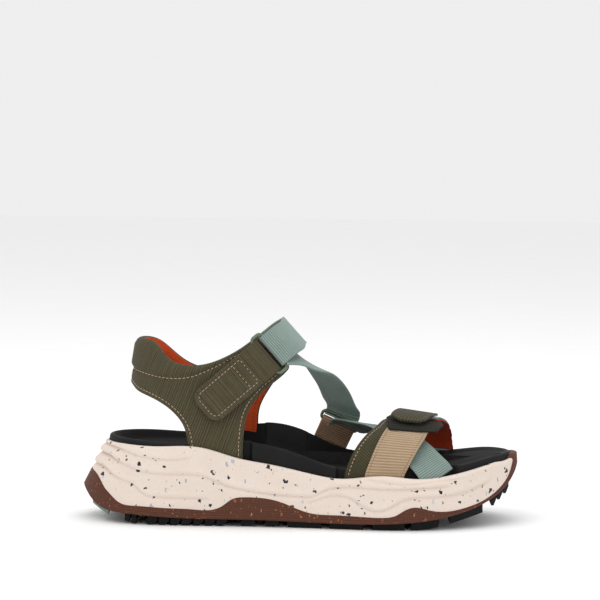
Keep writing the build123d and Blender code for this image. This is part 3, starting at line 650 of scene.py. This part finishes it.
top = sole_top(X0) - 1.4 * toe
floor = recess_floor(X0) - 0.1
rings = disc(4.6, 0, low + 3.15)
rings += [flat_ring(4.6, 0, low + 3.15), wall(np.minimum(brim - 0.8, top - 3), -2.1),
          wall(np.minimum(brim - 0.5, top - 2.6), -0.6)]
start = np.minimum(brim - 0.3, top - 2.2)
for f in np.linspace(0, 1, 90):
    z = start + (top - 1.5 - start) * f
    edge = smooth(z - start, 0.0, 1.2)
    rings.append(wall(z, carve(z) * edge * smooth(top - z, 0.5, 2.4)))
rings += [wall(top - 1.5 + 1.5 * math.sin(a), -1.5 * (1 - math.cos(a))) for a in ROUND]
rings += [flat_ring(4.35, WELL - 0.1, top - 0.1), flat_ring(4.5, WELL, top - 0.5)]
rings += disc(4.5, WELL, floor, (1, 0.9, 0.5, 0.02))
piece("midsole_skin", *rings_mesh(rings), FOAM, "midsole", "midsole_foam")

# ---- footbed ----------------------------------------------------------------------------
side = smooth(Y0, -14, 14)
rim = rim_lateral(X0) * (1 - side) + rim_medial(X0) * side + 1.6 * BACK
dish = dish_floor(X0)
base = recess_floor(X0) + 1.2
inner = dish + 1.3
slot_in = np.zeros_like(X0)                          # the rim gives way where a strap passes outside it
for x_from, x_to, sign, deep in ((-71.5, -33.5, -1, 5.4), (-61.5, -25.5, 1, 6.0), (24, 65, -1, 3.4), (66, 99, 1, 4.2),
                                 (5, 36, 1, 2.6), (69, 99, -1, 5.2)):
    gate = smooth(X0, x_from - 2.5, x_from + 0.5) * (1 - smooth(X0, x_to - 0.5, x_to + 2.5)) * (Y0 * sign > 0)
    slot_in = np.maximum(slot_in, gate * deep)


def bed_ring(inset, z, share=1.0, narrow=1.0):
    return flat_ring(inset + slot_in * share, WELL, z, narrow)


rings = disc(11, WELL, base)
rings += [bed_ring(4.75, base), bed_ring(4.7, base + 1)]
tall = np.maximum(rim - base, 2.5)
for f in (0.35, 0.6, 0.75):
    rings.append(bed_ring(4.7 + 0.25 * f, base + 1 + (tall - 2.8) * f))
for turn in range(0, 91, 15):
    a = math.radians(turn)
    rings.append(bed_ring(4.95 + 2.0 * (1 - math.cos(a)), base + tall - 2.0 + 2.0 * math.sin(a), 1 - 0.25 * turn / 90))
for f in np.linspace(0.06, 1, 14):
    ease = smooth(f, 0, 1)
    rings.append(bed_ring(6.95 + 4.3 * f, base + tall + (inner - 0.1 - base - tall) * ease, 0.75 * (1 - f)))
rings += [flat_ring(11.4, WELL, inner - 0.7)] + disc(11.8, WELL, dish - 0.1, (1, 0.9, 0.5, 0.02))
piece("footbed_shell", *rings_mesh(rings), BED, "footbed", "footbed_foam")

rings = disc(12.1, WELL, dish) + [flat_ring(12.0, WELL, dish)]
rings += [flat_ring(11.75, WELL, dish + 0.5), flat_ring(11.9, WELL, dish + 1.35), flat_ring(12.4, WELL, dish + 1.75)]
rings += [flat_ring(inset, WELL, dish + lift) for inset, lift in ((13.2, 1.7), (14.5, 1.5), (16.5, 1.3), (19, 1.2))]
rings += disc(19, WELL, dish + 1.2, (0.9, 0.75, 0.6, 0.45, 0.3, 0.15, 0.02))
piece("footbed_top", *rings_mesh(rings), COVER, "footbed_cover", "footbed_cover")


# ---- quarter ----------------------------------------------------------------------------
# The quarter is drawn unrolled: length round the foot from the heel (- outer side), and height.
SIDE_X = -62                              # the round heel meets the straight sides here
HEEL_TURN, HEEL_LENGTH = 45, 70.7         # radius of the turn, and its length
SKIN = 1.9                                # the fabric's rounded edge
QUARTER_FOOT = 45                         # height above which the sides lean in


def heel_back(z):
    return -113 + 0.16 * (z - QUARTER_FOOT)


def ankle(flat, height):
    """Point on the quarter at (length from the heel, z), height above its outer face."""
    p, z = flat[:, 0], flat[:, 1]
    depth = -np.asarray(height)
    rise = np.maximum(z - QUARTER_FOOT, 0)
    back = heel_back(z) + depth
    q = np.abs(p) - HEEL_LENGTH

    def half(x):
        return 34.7 - 0.1 * rise - 0.001 * rise**2 - 0.0015 * rise * np.maximum(x + 56, -6)

    turn = np.clip(-q / HEEL_TURN, 0, PI / 2)
    x = np.where(q > 0, q + SIDE_X, SIDE_X - (SIDE_X - back) * np.sin(turn))
    wide = np.where(q > 0, half(q + SIDE_X), half(SIDE_X) * np.cos(turn))
    drawn = (depth + 2.2 * (p > 0)) * np.cos(turn)
    return np.stack([x, np.where(p < 0, -1, 1) * (wide - drawn), z], 1)


def unrolled(points, side):
    """(x, z) points seen from the side, as points of the unrolled quarter."""
    out = []
    for x, z in points:
        if x > SIDE_X:
            q = x - SIDE_X
        else:
            q = -HEEL_TURN * math.asin(min(1.0, (SIDE_X - x) / (SIDE_X - heel_back(z))))
        out.append((side * (q + HEEL_LENGTH), z))
    return out


SIDES = {                                 # brow, front and rear edge of each side, as (x, z)
    -1: ([(-116, 112.3), (-97, 112.2), (-92, 110.6), (-86, 104.2), (-80, 99.8), (-71, 97.7), (-60, 98.3), (-49, 102),
          (-38, 108), (-28, 115.3)],
         [(-6.8, 97.2), (-12, 91.7), (-20, 85.2), (-27, 78.2), (-32.5, 70), (-35.2, 58), (-35.3, 30)],
         [(-70, 30), (-69.9, 50), (-73, 61), (-81, 70), (-92, 76.2), (-103, 80.5), (-116, 84)]),
    1: ([(-116, 112.3), (-97, 112), (-90, 109.2), (-83, 103.5), (-75, 97), (-64, 92), (-54, 91.2), (-44, 95),
         (-34, 101), (-25, 107.5)],
        [(-11, 94), (-17, 84), (-22.5, 75), (-26.5, 66), (-27.5, 54), (-27, 30)],
        [(-60, 30), (-60, 48), (-64, 61), (-73, 70), (-88, 76.4), (-103, 80.5), (-116, 84)])}
SEAMS = {                                 # lower edge of the padded collar
    -1: [(-95, 91.0), (-86, 89.6), (-77, 89.4), (-67, 90.9), (-60, 93.6), (-52, 97.3), (-45, 101.2), (-38, 104.9)],
    1: [(-95, 90.4), (-86, 87.6), (-77, 86.2), (-68, 86.6), (-60, 87.6), (-52, 89.2), (-44, 92.4), (-36, 96.8)]}
seams = {s: spline([(0, 93.5), (s * 11, 93.0)] + unrolled(points, s), step=0.8) for s, points in SEAMS.items()}


def quarter_edges(s):
    brow, front, rear = (unrolled(c, s) for c in SIDES[s])
    brow[:1] = [(0, 112.5), (s * 9, 112.5)]
    rear[-1:] = [(s * 9, 83.2), (0, 83.9)]
    return [spline(c, step=0.9) for c in (brow, front, rear)]


EDGES = {s: quarter_edges(s) for s in (-1, 1)}


def half_outline(s):
    brow, front, rear = EDGES[s]
    arm = rounded(brow[-4], brow[-1], front[0], 1.2)
    nose = rounded(brow[-1], front[0], front[4], 3.5)
    low = line(front[-1], rear[0], 0.9)
    return np.vstack([brow[:-3], arm, line(arm[-1], nose[0], 0.9)[1:-1], nose, front[5:-1], low[:-1], rear])


quarter_outline = np.vstack([half_outline(-1), half_outline(1)[::-1][1:]])[:-1]


def seam_distance(pts):
    return np.where(pts[:, 0] < 0, path_distance(seams[-1], pts), path_distance(seams[1], pts))


def above_seam(pts):
    left, right = seams[-1], seams[1]
    level = np.where(pts[:, 0] < 0, np.interp(-pts[:, 0], -left[:, 0], left[:, 1]),
                     np.interp(pts[:, 0], right[:, 0], right[:, 1]))
    return pts[:, 1] - level


def collar(pts, start, full):
    """Share of the collar's swell, which fades towards the straps."""
    return smooth(above_seam(pts), start, full) * (1 - smooth(np.abs(pts[:, 0]), 62, 92))


def quarter_top(pts, d):
    gap = seam_distance(pts)
    groove = 0.55 * np.exp(-(gap / 0.9) ** 2)
    hem = 0.35 * np.exp(-((d - 2.7) / 0.8) ** 2) * (gap > 3)
    wale = 0.05 * np.sin(2 * PI * (pts[:, 0] * 0.94 + pts[:, 1] * 0.34) / 3.4)
    return round_edge(d, SKIN, SKIN) - SKIN + 1.5 * collar(pts, 0.3, 3.5) * smooth(d, 0, 4) - groove - hem + wale


def quarter_under(pts, d):
    thin = smooth(d, 2.4, 3.6)
    return -SKIN - round_edge(d, 1.5, 1.4) * (1 - thin) + 0.5 * thin


def lining_under(pts, d):
    return -3.55 - round_edge(d, 0.7, 0.6) - 0.9 * collar(pts, 0, 3) * smooth(d, 0.5, 4)


flat_slab("quarter_shell", quarter_outline, ankle, quarter_top, quarter_under, OLIVE, "quarter",
          "quarter_fabric", edge=SKIN, spacing=1.15)
pad = flat_slab("quarter_pad", inset_outline(quarter_outline, 3.6), ankle, edge_only(0.8, 0.75, -2.3),
                edge_only(0.8, -0.95, -2.3), PAD, "quarter_padding", "padding_foam", edge=0.8, spacing=2.6)
flat_slab("quarter_lining_skin", inset_outline(quarter_outline, 0.9), ankle, edge_only(0.5, 0.2, -3.55), lining_under,
          ORANGE, "quarter_lining", "lining_orange", edge=0.7, spacing=1.5)
for s, tag in ((-1, "lateral"), (1, "medial")):
    brow, front, rear = EDGES[s]
    sewn(f"stitch_collar_{tag}", ankle, seams[s], -0.35, PINK)
    sewn(f"stitch_front_{tag}", ankle, inset_path(front[5:], 2.7, s), -0.2, PINK, pitch=2.5)
    sewn(f"stitch_rear_{tag}", ankle, inset_path(rear, 2.7, s), -0.2, PINK, pitch=2.5)
    sewn(f"stitch_top_{tag}", ankle, inset_path(brow[-34:-3], 2.6, s), -0.2, DARK, pitch=2.5)
    sewn(f"stitch_lining_{tag}", ankle, inset_path(front[5:], 3.4, s), -4.25, DARK, face=-1, pitch=2.8, length=1.5)


# ---- ankle closure ----------------------------------------------------------------------
class Plane:
    """The plane across a ring's bar: u and v lie in it, w runs along the bar."""

    def __init__(self, origin, bar, toward):
        self.origin = np.array(origin, float)
        self.w = unit(np.array(bar, float))
        toward = np.array(toward, float)
        self.u = unit(toward - self.w * (toward @ self.w))
        self.v = np.cross(self.w, self.u)

    def at(self, u, v, w=0.0):
        return self.origin + self.u * u + self.v * v + self.w * w

    def stations(self, profile):
        return [(self.at(u, v), self.w) for u, v in profile]

    def sheet(self, profile, step):
        """place() for a strip with this profile; its flat points are (w, length). Also its path."""
        path = spline(profile, step=step)
        s = lengths(path)
        normal = np.gradient(path, axis=0)
        normal = unit(np.stack([normal[:, 1], -normal[:, 0]], 1))

        def place(flat, height):
            uv = columns(flat[:, 1], s, path) + unit(columns(flat[:, 1], s, normal)) * np.asarray(height)[:, None]
            return self.at(uv[:, :1], uv[:, 1:], flat[:, :1])
        return place, path


closure = Plane((-17.4, -24.6, 107.7), (0.661, -0.119, -0.741), (0.0793, 0.9929, -0.0889))
FOLD = 2.05                               # radius of webbing's middle round a bar

stations = closure.stations([(1.45, 0.7)] + arc((-0.6, 0), FOLD, 0, -180)
                            + [(-2.65, 1.2), (-1.6, 5.8), (3, 10.4), (11, 13.6)])
stations.append(((-5.6, 0, 117.3), (0.666, 0, -0.746)))
for u, v in [(12, 14.2), (6, 8.8), (3.7, 1), (1.4, -10), (-0.9, -20), (-3, -30)]:
    x, y, z = closure.at(u, v)
    stations.append(((x, -y, z), (0.661, 0.119, -0.741)))
band("instep_band", stations, TEAL, "instep_webbing", "webbing_teal", soften=((-8, 6, 116.5), 27))

TAB_BAR, TAB_FOLD = np.array([-2.25, -7.3]), 2.15
TAB_HALF, TAB_CORNER, TAB_HEM = 11.75, 7, 2.9
on_tab, tab_path = closure.sheet(
    [(-4.9, -21), (-3.2, -17.5), (-1.3, -12)] + arc(TAB_BAR, TAB_FOLD, 0, 180)
    + [(-5, -14), (-5.7, -22), (-6.9, -30), (-8.8, -40), (-10.2, -50), (-10.9, -57)], step=0.3)
tab_lengths = lengths(tab_path)
TAB_END = tab_lengths[-1]
BEND = tab_lengths[np.argmin(np.linalg.norm(tab_path - TAB_BAR + (TAB_FOLD, 0), axis=1))]
TAB_ROWS = (BEND + 12.5, BEND + 18.5)     # the two rows sewn across the tab


def tab_corners(radius, start=0, count=10):
    side, end = TAB_HALF - TAB_CORNER, TAB_END - TAB_CORNER
    return arc((side, end), radius, start, 90, count), arc((-side, end), radius, 90, 180 - start, count)


def tab_top(p, d):
    swell = 0.35 * smooth(d, 3.4, 6.5) * smooth(p[:, 1], BEND + 20, BEND + 26)
    groove = 0.32 * np.exp(-((d - TAB_HEM) / 0.75) ** 2) * smooth(p[:, 1], BEND + 3, BEND + 6)
    for at in TAB_ROWS:
        groove = groove + 0.28 * np.exp(-((p[:, 1] - at) / 0.75) ** 2) * smooth(d, 2.6, 3.4)
    return round_edge(d, 0.9, 0.9) + swell - groove


flat_slab("ankle_tab_strap", closed([[(-TAB_HALF, 0.0)], [(TAB_HALF, 0.0)], *tab_corners(TAB_CORNER)]), on_tab, tab_top,
          edge_only(0.8, -0.75), OLIVE_TAB, "ankle_tab", "quarter_fabric", 0.9, 0.9, "ankle_tab")
inset = TAB_HALF - TAB_HEM
straight = np.linspace(TAB_ROWS[0], TAB_END - TAB_CORNER, 40)
right, left = tab_corners(TAB_CORNER - TAB_HEM, math.degrees(0.1), 9)
round_row = [(inset, a) for a in straight] + right + left + [(-inset, a) for a in straight[::-1]]
cross_rows = [[(x, at) for x in np.linspace(inset - 0.4, 0.4 - inset, 12)] for at in TAB_ROWS]
for tag, path in zip(("round", "bar_a", "bar_b"), (round_row, *cross_rows)):
    sewn(f"stitch_tab_{tag}", on_tab, path, 0.62, PINK, "ankle_tab", pitch=2.5)


def tape(name, profile, half, material, node, body):
    """Strip of hook or loop tape, 0.8 thick, with a profile in the closure's plane."""
    place, path = closure.sheet(profile, 0.5)
    rng = np.random.default_rng(5)
    flat_slab(name, rounded_box(half, lengths(path)[-1], 4.0), place,
              lambda p, d: round_edge(d, 0.45, 0.4) + rng.normal(0, 0.05, len(p)) * (d > 0.3),
              edge_only(0.45, -0.4), material, node, "tape_olive", 0.45, 0.9, body)


tape("ankle_hooks", [(-4.6, -24), (-5.6, -30), (-7.5, -40), (-8.9, -50), (-9.4, -54.5)], 9.7, HOOKS,
     "ankle_hook_tape", "ankle_tab")
tape("ankle_loops", [(-3.1, -24), (-4.4, -30), (-6.3, -40), (-7.75, -50), (-8.4, -57)], 10.7, FUZZ,
     "ankle_loop_tape", "sandal")

# ---- zigzag webbing ---------------------------------------------------------------------
midfoot = Plane((25.5, 36.2, 59.5), (0.915, 0, -0.403), (0, 1, 0))
LOOP_BAR = np.array([1.0, -5.8])          # the loop's bar of the midfoot ring; the webbing's bar is at (0, 0)
WIRE_RADIUS = 1.0

diagonal = [((-11.5, -21.8, 106.5), (0.52, -0.38, -0.765)), ((-5, -16.8, 103.4), (0.60, -0.58, -0.55)),
            ((1.0, -11, 99.6), (0.64, -0.61, -0.46)), ((8.6, 0, 94.5), (0.76, -0.60, -0.25)),
            ((15.4, 12, 86.5), (0.86, -0.49, -0.14)), ((20.4, 22, 78), (0.91, -0.36, -0.2)),
            ((24.3, 31, 69), (0.93, -0.15, -0.33)), ((26, 38.25, 60.6), (0.915, 0, -0.403))]
diagonal += midfoot.stations(arc((0, 0), FOLD, -20, -90, 4))
run = midfoot.stations([(-0.4, -2.1)])
run += [((25.7, 34.8, 56.3), (0.915, 0, -0.403)), ((28.4, 31.0, 54.9), (0.90, 0.12, -0.42)),
        ((33.6, 23.8, 55.2), (0.85, 0.33, -0.40)), ((41, 11, 57.4), (0.82, 0.52, -0.25)),
        ((53, -8, 58), (0.82, 0.56, -0.08)), ((64, -24, 52), (0.86, 0.48, 0.09)),
        ((73.6, -32.4, 43.4), (0.9, 0.37, 0.22)), ((80, -37.2, 37), (0.94, 0.3, 0.1)),
        ((84.4, -38.1, 31), (0.956, 0.293, 0))]
loop = midfoot.stations([(2, -18), (1.6, -15.5), (0.2, -11)] + arc(LOOP_BAR, FOLD, 180, 0)
                        + [(3.2, -13), (2.2, -20), (1.5, -27)])
band("diagonal_band", diagonal, TEAL, "diagonal_webbing", "webbing_teal")
band("forefoot_band", run, TEAL, "forefoot_webbing", "webbing_teal")
loop_row, loop_length = band("midfoot_loop_band", loop, LOOP_TAN_IN_PAINTED_SHADE, "midfoot_loop", "webbing_brown", pitch=1.5)
for length in (loop_length - 20, loop_length - 14):
    middle, normal = loop_row(length, np.linspace(-8.5, 8.5, 14))
    for way, tag in ((1, "out"), (-1, "in")):
        stitches(f"stitch_loop_{int(length)}_{tag}", middle + normal * 0.66 * way,
                 np.broadcast_to(normal * way, middle.shape), DARK, pitch=2.3)

down = unit(LOOP_BAR)
ring = rounded_box(WEB_WIDTH / 2 + 0.3 + WIRE_RADIUS, np.linalg.norm(LOOP_BAR), 2.4, 1.5)
centre = np.array([midfoot.at(*(down * v), w) for w, v in ring])
along = unit(np.roll(centre, -1, axis=0) - np.roll(centre, 1, axis=0))
out = unit(np.cross(midfoot.w, midfoot.at(*down) - midfoot.at(0, 0)))
side = np.cross(along, out)
tube = [centre + (out * math.cos(q) + side * math.sin(q)) * WIRE_RADIUS for q in np.linspace(0, 2 * PI, 13)[:-1]]
n = len(centre)
faces = [(j * n + i, j * n + (i + 1) % n, (j + 1) % 12 * n + (i + 1) % n, (j + 1) % 12 * n + i)
         for j in range(12) for i in range(n)]
piece("midfoot_wire_ring", np.vstack(tube), faces, WIRE, "midfoot_ring", "ring_coated")

# ---- forefoot straps --------------------------------------------------------------------
# The straps are drawn on an arch over the foot, unrolled: x, and the arc from the outer side.
ARCH_FOOT, ARCH_SQUARE = 30, 0.8          # height the arch stands at, and how square its section is


def arch_sides(x):
    """Half widths of the arch on the outer and the inner side of the foot."""
    outer = 40.3 - 0.0032 * np.minimum(x - 54, 0) ** 2 - 0.0046 * np.maximum(x - 54, 0) ** 2
    return outer, 41.4 - 0.0043 * (x - 63) ** 2


def arch_rise(x, off, lift):
    return 60.5 - 0.14 * (x - 60) + lift + off - ARCH_FOOT


def arch_point(x, turn, off, lift=0.0):
    """Point at an angle round the arch (0 outer side, pi inner), off outside the foot."""
    outer, inner = arch_sides(x)
    c = np.cos(turn)
    half = np.where(c > 0, outer, inner) + off
    up = arch_rise(x, off, lift) * np.abs(np.sin(turn)) ** ARCH_SQUARE
    return np.stack([x, -np.sign(c) * half * np.abs(c) ** ARCH_SQUARE, ARCH_FOOT + up], -1)


TURNS = np.linspace(0, PI, 2001)
ARCS = lengths(arch_point(np.full(len(TURNS), 62.0), TURNS, 1.5))


def arc_of_z(x, z, off, lift=0.0, inner=False):
    ratio = np.clip((z - ARCH_FOOT) / arch_rise(x, off, lift), 0, 1)
    turn = math.asin(ratio ** (1 / ARCH_SQUARE))
    return float(np.interp(PI - turn if inner else turn, TURNS, ARCS))


def arc_of_y(x, y, off):
    half = arch_sides(x)[y >= 0] + off
    turn = math.acos(min(1, abs(y) / half) ** (1 / ARCH_SQUARE))
    return float(np.interp(turn if y < 0 else PI - turn, TURNS, ARCS))


def on_arch(off, lift=0.0):
    """place() for a layer whose middle is off outside the foot; flat points are (x, arc)."""
    def at(flat, height):
        turn = np.interp(flat[:, 1], ARCS, TURNS)
        x = flat[:, 0]
        here = arch_point(x, turn, off, lift)
        dx = arch_point(x + 0.5, turn, off, lift) - arch_point(x - 0.5, turn, off, lift)
        span = np.where(np.abs(turn - PI / 2) < 0.06, 0.06, 0.02)
        dt = arch_point(x, np.clip(turn + span, 0, PI), off, lift) - arch_point(
            x, np.clip(turn - span, 0, PI), off, lift)
        n = unit(np.cross(dx, dt))
        n = np.where(n[:, 2:] < -0.2, -n, n)
        out = np.stack([np.zeros(len(x)), here[:, 1], here[:, 2] - 25], 1)
        n = np.where(np.sum(n * out, axis=1, keepdims=True) < 0, -n, n)
        return here + n * np.asarray(height)[:, None]
    return at


def strap(name, left, right, off, half, material, node, slot, pitch=0.0, ribs=WEB_RIBS, wobble=0.0, lift=0.0,
          body="sandal"):
    """Strap over the arch between two edges given as (arc, x) points. Gives a function that sews a
    row beside its left or right edge."""
    step = 0.26
    lo, hi = max(left[0][0], right[0][0]), min(left[-1][0], right[-1][0])
    v = np.linspace(lo, hi, int((hi - lo) / step))
    kernel = np.hanning(int(9 / step) | 1)
    kernel /= kernel.sum()
    reach = len(kernel) // 2
    edge_l, edge_r = (
        np.convolve(np.pad(np.interp(v, *zip(*edge)), reach, mode="reflect", reflect_type="odd"), kernel, "valid")
        for edge in (left, right))
    width = float(np.mean(edge_r - edge_l))
    u, rise = across_samples(width, half, 1.1)
    share = u / width + 0.5
    x = edge_l[:, None] + (edge_r - edge_l)[:, None] * share[None]
    if wobble:
        x = x + (wobble * np.sin(v * 0.9) * np.cos(v * 0.37))[:, None] * (share * 2 - 1)[None]
    cap = round_edge(np.minimum(v - lo, hi - v), half, 1)[:, None]
    high = half - (ribs * (1 - rib(v, pitch)) if pitch else np.zeros(len(v)))[:, None]
    flat = np.stack([x, np.broadcast_to(v[:, None], x.shape)], -1).reshape(-1, 2)
    at = on_arch(off, lift)
    upper = at(flat, (high * rise[None] * cap).ravel()).reshape(*x.shape, 3)
    lower = at(flat, -(half * rise[None] * cap).ravel()).reshape(*x.shape, 3)
    verts, faces, uv = slab(upper, lower, np.stack(np.meshgrid(u, v), -1))
    piece(name, verts, faces, material, node, slot, body, uv)

    def hem(row, on_left, inset, thread, **dashes):
        ok = (v > lo + 2) & (v < hi - 1.5)
        path = np.stack([edge_l + inset if on_left else edge_r - inset, v], 1)[ok]
        sewn(row, at, path, half + 0.02, thread, body, **dashes)
    return hem


def strap_edge(points, end, off):
    """(x, z) points of an edge on the outer side and its (x, y) end on top, as (arc, x)."""
    return sorted([(arc_of_z(x, z, off), x) for x, z in points] + [(arc_of_y(*end, off), end[0])])


BASE_REAR = [(26.4, 30), (26.4, 33), (29.5, 42), (33.7, 50), (40, 57), (46, 60.6)]
BASE_FRONT = [(62.5, 30), (62.5, 32.5), (75, 54), (78, 58.5)]
TAN_REAR = [(38.8, 30), (38.8, 34), (54.0, 61.5)]
TAN_FRONT = [(62.5, 30), (62.5, 32.5), (75.5, 54), (79, 58.5)]
strap("outer_lining", strap_edge([(x + 0.7, z) for x, z in BASE_REAR], (56, 9.5), 0.4),
      strap_edge([(x - 0.7, z) for x, z in BASE_FRONT], (78.5, 9.5), 0.4), 0.35, 0.34, ORANGE_IN_PAINTED_SHADE,
      "outer_strap_lining", "lining_orange")
base_hem = strap("outer_base", strap_edge(BASE_REAR, (56, 10), 1.4), strap_edge(BASE_FRONT, (79, 10), 1.4), 1.4, 0.6,
                 OLIVE_BASE, "outer_strap_base", "quarter_fabric")
base_hem("stitch_base_rear", True, 2.4, PINK, pitch=2.4, length=1.7)
base_hem("stitch_base_rear_dark", True, 3.3, DARK, pitch=2.4, length=1.1, radius=0.2)
tan_hem = strap("tan_band", strap_edge(TAN_REAR, (57, 8), 2.8), strap_edge(TAN_FRONT, (82, 8), 2.8), 2.8, 0.7, TAN,
                "tan_webbing", "webbing_tan", pitch=1.6, ribs=0.2)
tan_hem("stitch_tan_rear", True, 1.9, UMBER, pitch=2.0, length=1.1, radius=0.22)
tan_hem("stitch_tan_front", False, 1.9, UMBER, pitch=2.0, length=1.1, radius=0.22)


def plan_outline(points, off, radius):
    """Rounded polygon given in plan (x, y), as (x, arc) points."""
    flat = np.array([(x, arc_of_y(x, y, off)) for x, y in points])
    bends = []
    for a, c, b in zip(np.roll(flat, 1, axis=0), flat, np.roll(flat, -1, axis=0)):
        bends.append(rounded(a, c, b, min(radius, 0.45 * np.linalg.norm(a - c), 0.45 * np.linalg.norm(b - c))))
    return closed(bends)


rng = np.random.default_rng(11)
pile = plan_outline([(53, -29.5), (83.5, -24), (88, -10), (87, 9), (58, 9), (52.5, -10)], 4.05, 3.0)
frayed = unit(np.roll(pile, -1, axis=0) - np.roll(pile, 1, axis=0))[:, ::-1]
pile = pile + frayed * rng.normal(0, 0.22, (len(pile), 1))
flat_slab("forefoot_loops", pile, on_arch(4.05),
          lambda p, d: round_edge(d, 0.6, 0.5) + rng.normal(0, 0.09, len(p)) * (d > 0.2),
          edge_only(0.45, -0.43), FUZZ, "forefoot_loop_tape", "tape_olive", edge=0.6, spacing=0.8)

INNER_LIFT = 4.7                          # the inner strap lies this much above the outer one's arch


def inner_edge(points, ends):
    """(x, z) points of an edge on the inner side and (x, y, edge's x) ends on top, as (arc, x)."""
    return sorted([(arc_of_z(x, z, 1, INNER_LIFT, True), x) for x, z in points]
                  + [(arc_of_y(x, y, 1.0), edge_x) for x, y, edge_x in ends])


inner_rear = inner_edge([(70, 30), (70, 40), (66, 55)], [(62.5, 10, 63.0), (62, 0.01, 62.3)])
inner_front = inner_edge([(96.7, 30), (96.7, 40), (95.6, 50), (93, 58)], [(86, 10, 87), (85, 0.01, 85.3)])
START = arc_of_y(74, 0.3, 1.0)            # the inner strap's free end, its hinge by the sole, and the root's foot
ROOT = arc_of_z(84, 40.3, 1.0, INNER_LIFT, True)
FOOT = arc_of_z(84, 30.5, 1.0, INNER_LIFT, True)


def between(low, high, trim=0.0):
    """Both edges of the inner strap between two arcs, drawn in by a trim."""
    v = np.linspace(low, high, 40)
    return [list(zip(v, np.interp(v, *zip(*edge)) + shift))
            for edge, shift in ((inner_rear, trim), (inner_front, -trim))]


strap("inner_lining", *between(START, ROOT), 0.35, 0.34, ORANGE_IN_PAINTED_SHADE, "inner_strap_lining", "lining_orange",
      wobble=0.25, lift=INNER_LIFT, body="inner_strap")
strap("inner_band", *between(START, ROOT, 0.7), 1.5, 0.7, TEAL, "inner_strap_webbing", "webbing_teal",
      pitch=WEB_PITCH, lift=INNER_LIFT, body="inner_strap")
strap("inner_root", *between(ROOT + 0.3, FOOT, 0.2), 1.1, 1.05, TEAL, "inner_strap_anchor", "webbing_teal",
      pitch=WEB_PITCH, lift=INNER_LIFT)


def fore_top(p, d):
    wale = 0.07 * np.sin(2 * PI * (p[:, 0] - 0.33 * p[:, 1]) / 1.9)
    return round_edge(d, 0.8, 0.85) - 0.22 * np.exp(-((d - 2.4) / 0.7) ** 2) + wale * (d > 0.6)


tab_flat = plan_outline([(54.5, -18), (60, -23.5), (73, -22), (78, -16.5), (86, 14), (62, 14)], 3.2, 2.5)
on_fore_tab = on_arch(3.3, INNER_LIFT)
flat_slab("forefoot_tab_strap", tab_flat, on_fore_tab, fore_top, edge_only(0.8, -0.75), OLIVE_FORE,
          "forefoot_tab", "quarter_fabric", 0.8, 0.7, "forefoot_tab")
hem = inset_outline(tab_flat, 2.4)
hem = hem[hem[:, 1] < arc_of_y(74, 12, 3.2)]
order = np.argsort(np.arctan2(hem[:, 1] - hem[:, 1].mean(), hem[:, 0] - hem[:, 0].mean()))
sewn("stitch_fore_tab", on_fore_tab, np.vstack([hem[order], hem[order][:1]]), 0.66, UMBER, "forefoot_tab",
     pitch=2.2, length=1.5)
hooks = plan_outline([(58, -17), (61, -20.5), (72, -19.5), (75.5, -15), (80.5, -1), (60.5, -1)], 1.6, 2.0)
flat_slab("forefoot_hooks", hooks, on_arch(1.6, INNER_LIFT), edge_only(0.5, 0.72), edge_only(0.5, -0.72),
          HOOKS, "forefoot_hook_tape", "tape_olive", 0.5, 1.0, "forefoot_tab")

# ---- looks of the frame's own parts -----------------------------------------------------
KEPT = {"heel_tread": BLACK, "midfoot_tread": BLACK, "forefoot_tread": BLACK, "front_tread": BLACK,
        "toe_tread": BLACK, "heel_strike_tread": GREEN, "shank": PLASTIC, "insole_board": BOARD, "ankle_ring": WIRE}
for node, look in KEPT.items():
    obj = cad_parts[node]
    if not obj.material_slots:
        obj.data.materials.append(look)
    for slot in obj.material_slots:
        slot.material = look

# ---- stage ------------------------------------------------------------------------------
scene = bpy.context.scene
bpy.ops.mesh.primitive_plane_add(size=8, location=(0, 0, 0))
floor_obj = bpy.context.object
floor_obj.name = "floor"
k = Look("floor_paper", rough=0.9, specular=0.1)
floor_obj.data.materials.append(k.done(k.mix(k.noise(0.02, 3.0), srgb(250, 250, 250), srgb(254, 254, 254))))
world = bpy.data.worlds.new("studio")
world.use_nodes = True
sky = world.node_tree.nodes["Background"].inputs
sky["Color"].default_value = (1.0, 1.0, 1.0, 1)
sky["Strength"].default_value = 0.86
scene.world = world


def lamp(name, place, target, size, power):
    light = bpy.data.lights.new(name, "AREA")
    light.shape = "RECTANGLE"
    light.size, light.size_y = size
    light.energy = power
    obj = bpy.data.objects.new(name, light)
    obj.location = place
    obj.rotation_euler = (Vector(target) - Vector(place)).to_track_quat("-Z", "Y").to_euler()
    scene.collection.objects.link(obj)


lamp("key", (-0.5, -0.9, 1.5), (0, 0, 0.05), (1.4, 1.0), 6.5)
lamp("top", (0.2, 0.3, 1.5), (0, 0, 0.05), (1.2, 1.2), 5)
lamp("front_fill", (0.8, -1.4, 0.5), (0, 0, 0.06), (1.0, 0.8), 1.5)

AIM = Vector((0, 0, 0.058))
DISTANCE, TILT, ROLL = 1.7, math.radians(7), math.radians(0.7)
VIEW_WIDTH = 0.3742                       # metres across the picture at the sandal
camera = bpy.data.cameras.new("camera")
camera.sensor_width = 36
camera.lens = camera.sensor_width * DISTANCE / VIEW_WIDTH
camera.shift_x, camera.shift_y = -0.0027, 0.2094
camera.clip_start, camera.clip_end = 0.05, 20
cam_obj = bpy.data.objects.new("camera", camera)
cam_obj.location = AIM + DISTANCE * Vector((0, -math.cos(TILT), math.sin(TILT)))
look = (AIM - cam_obj.location).to_track_quat("-Z", "Y").to_matrix().to_4x4()
cam_obj.rotation_euler = (look @ Matrix.Rotation(ROLL, 4, "Z")).to_euler()
scene.collection.objects.link(cam_obj)
scene.camera = cam_obj
scene.view_settings.view_transform = "Standard"
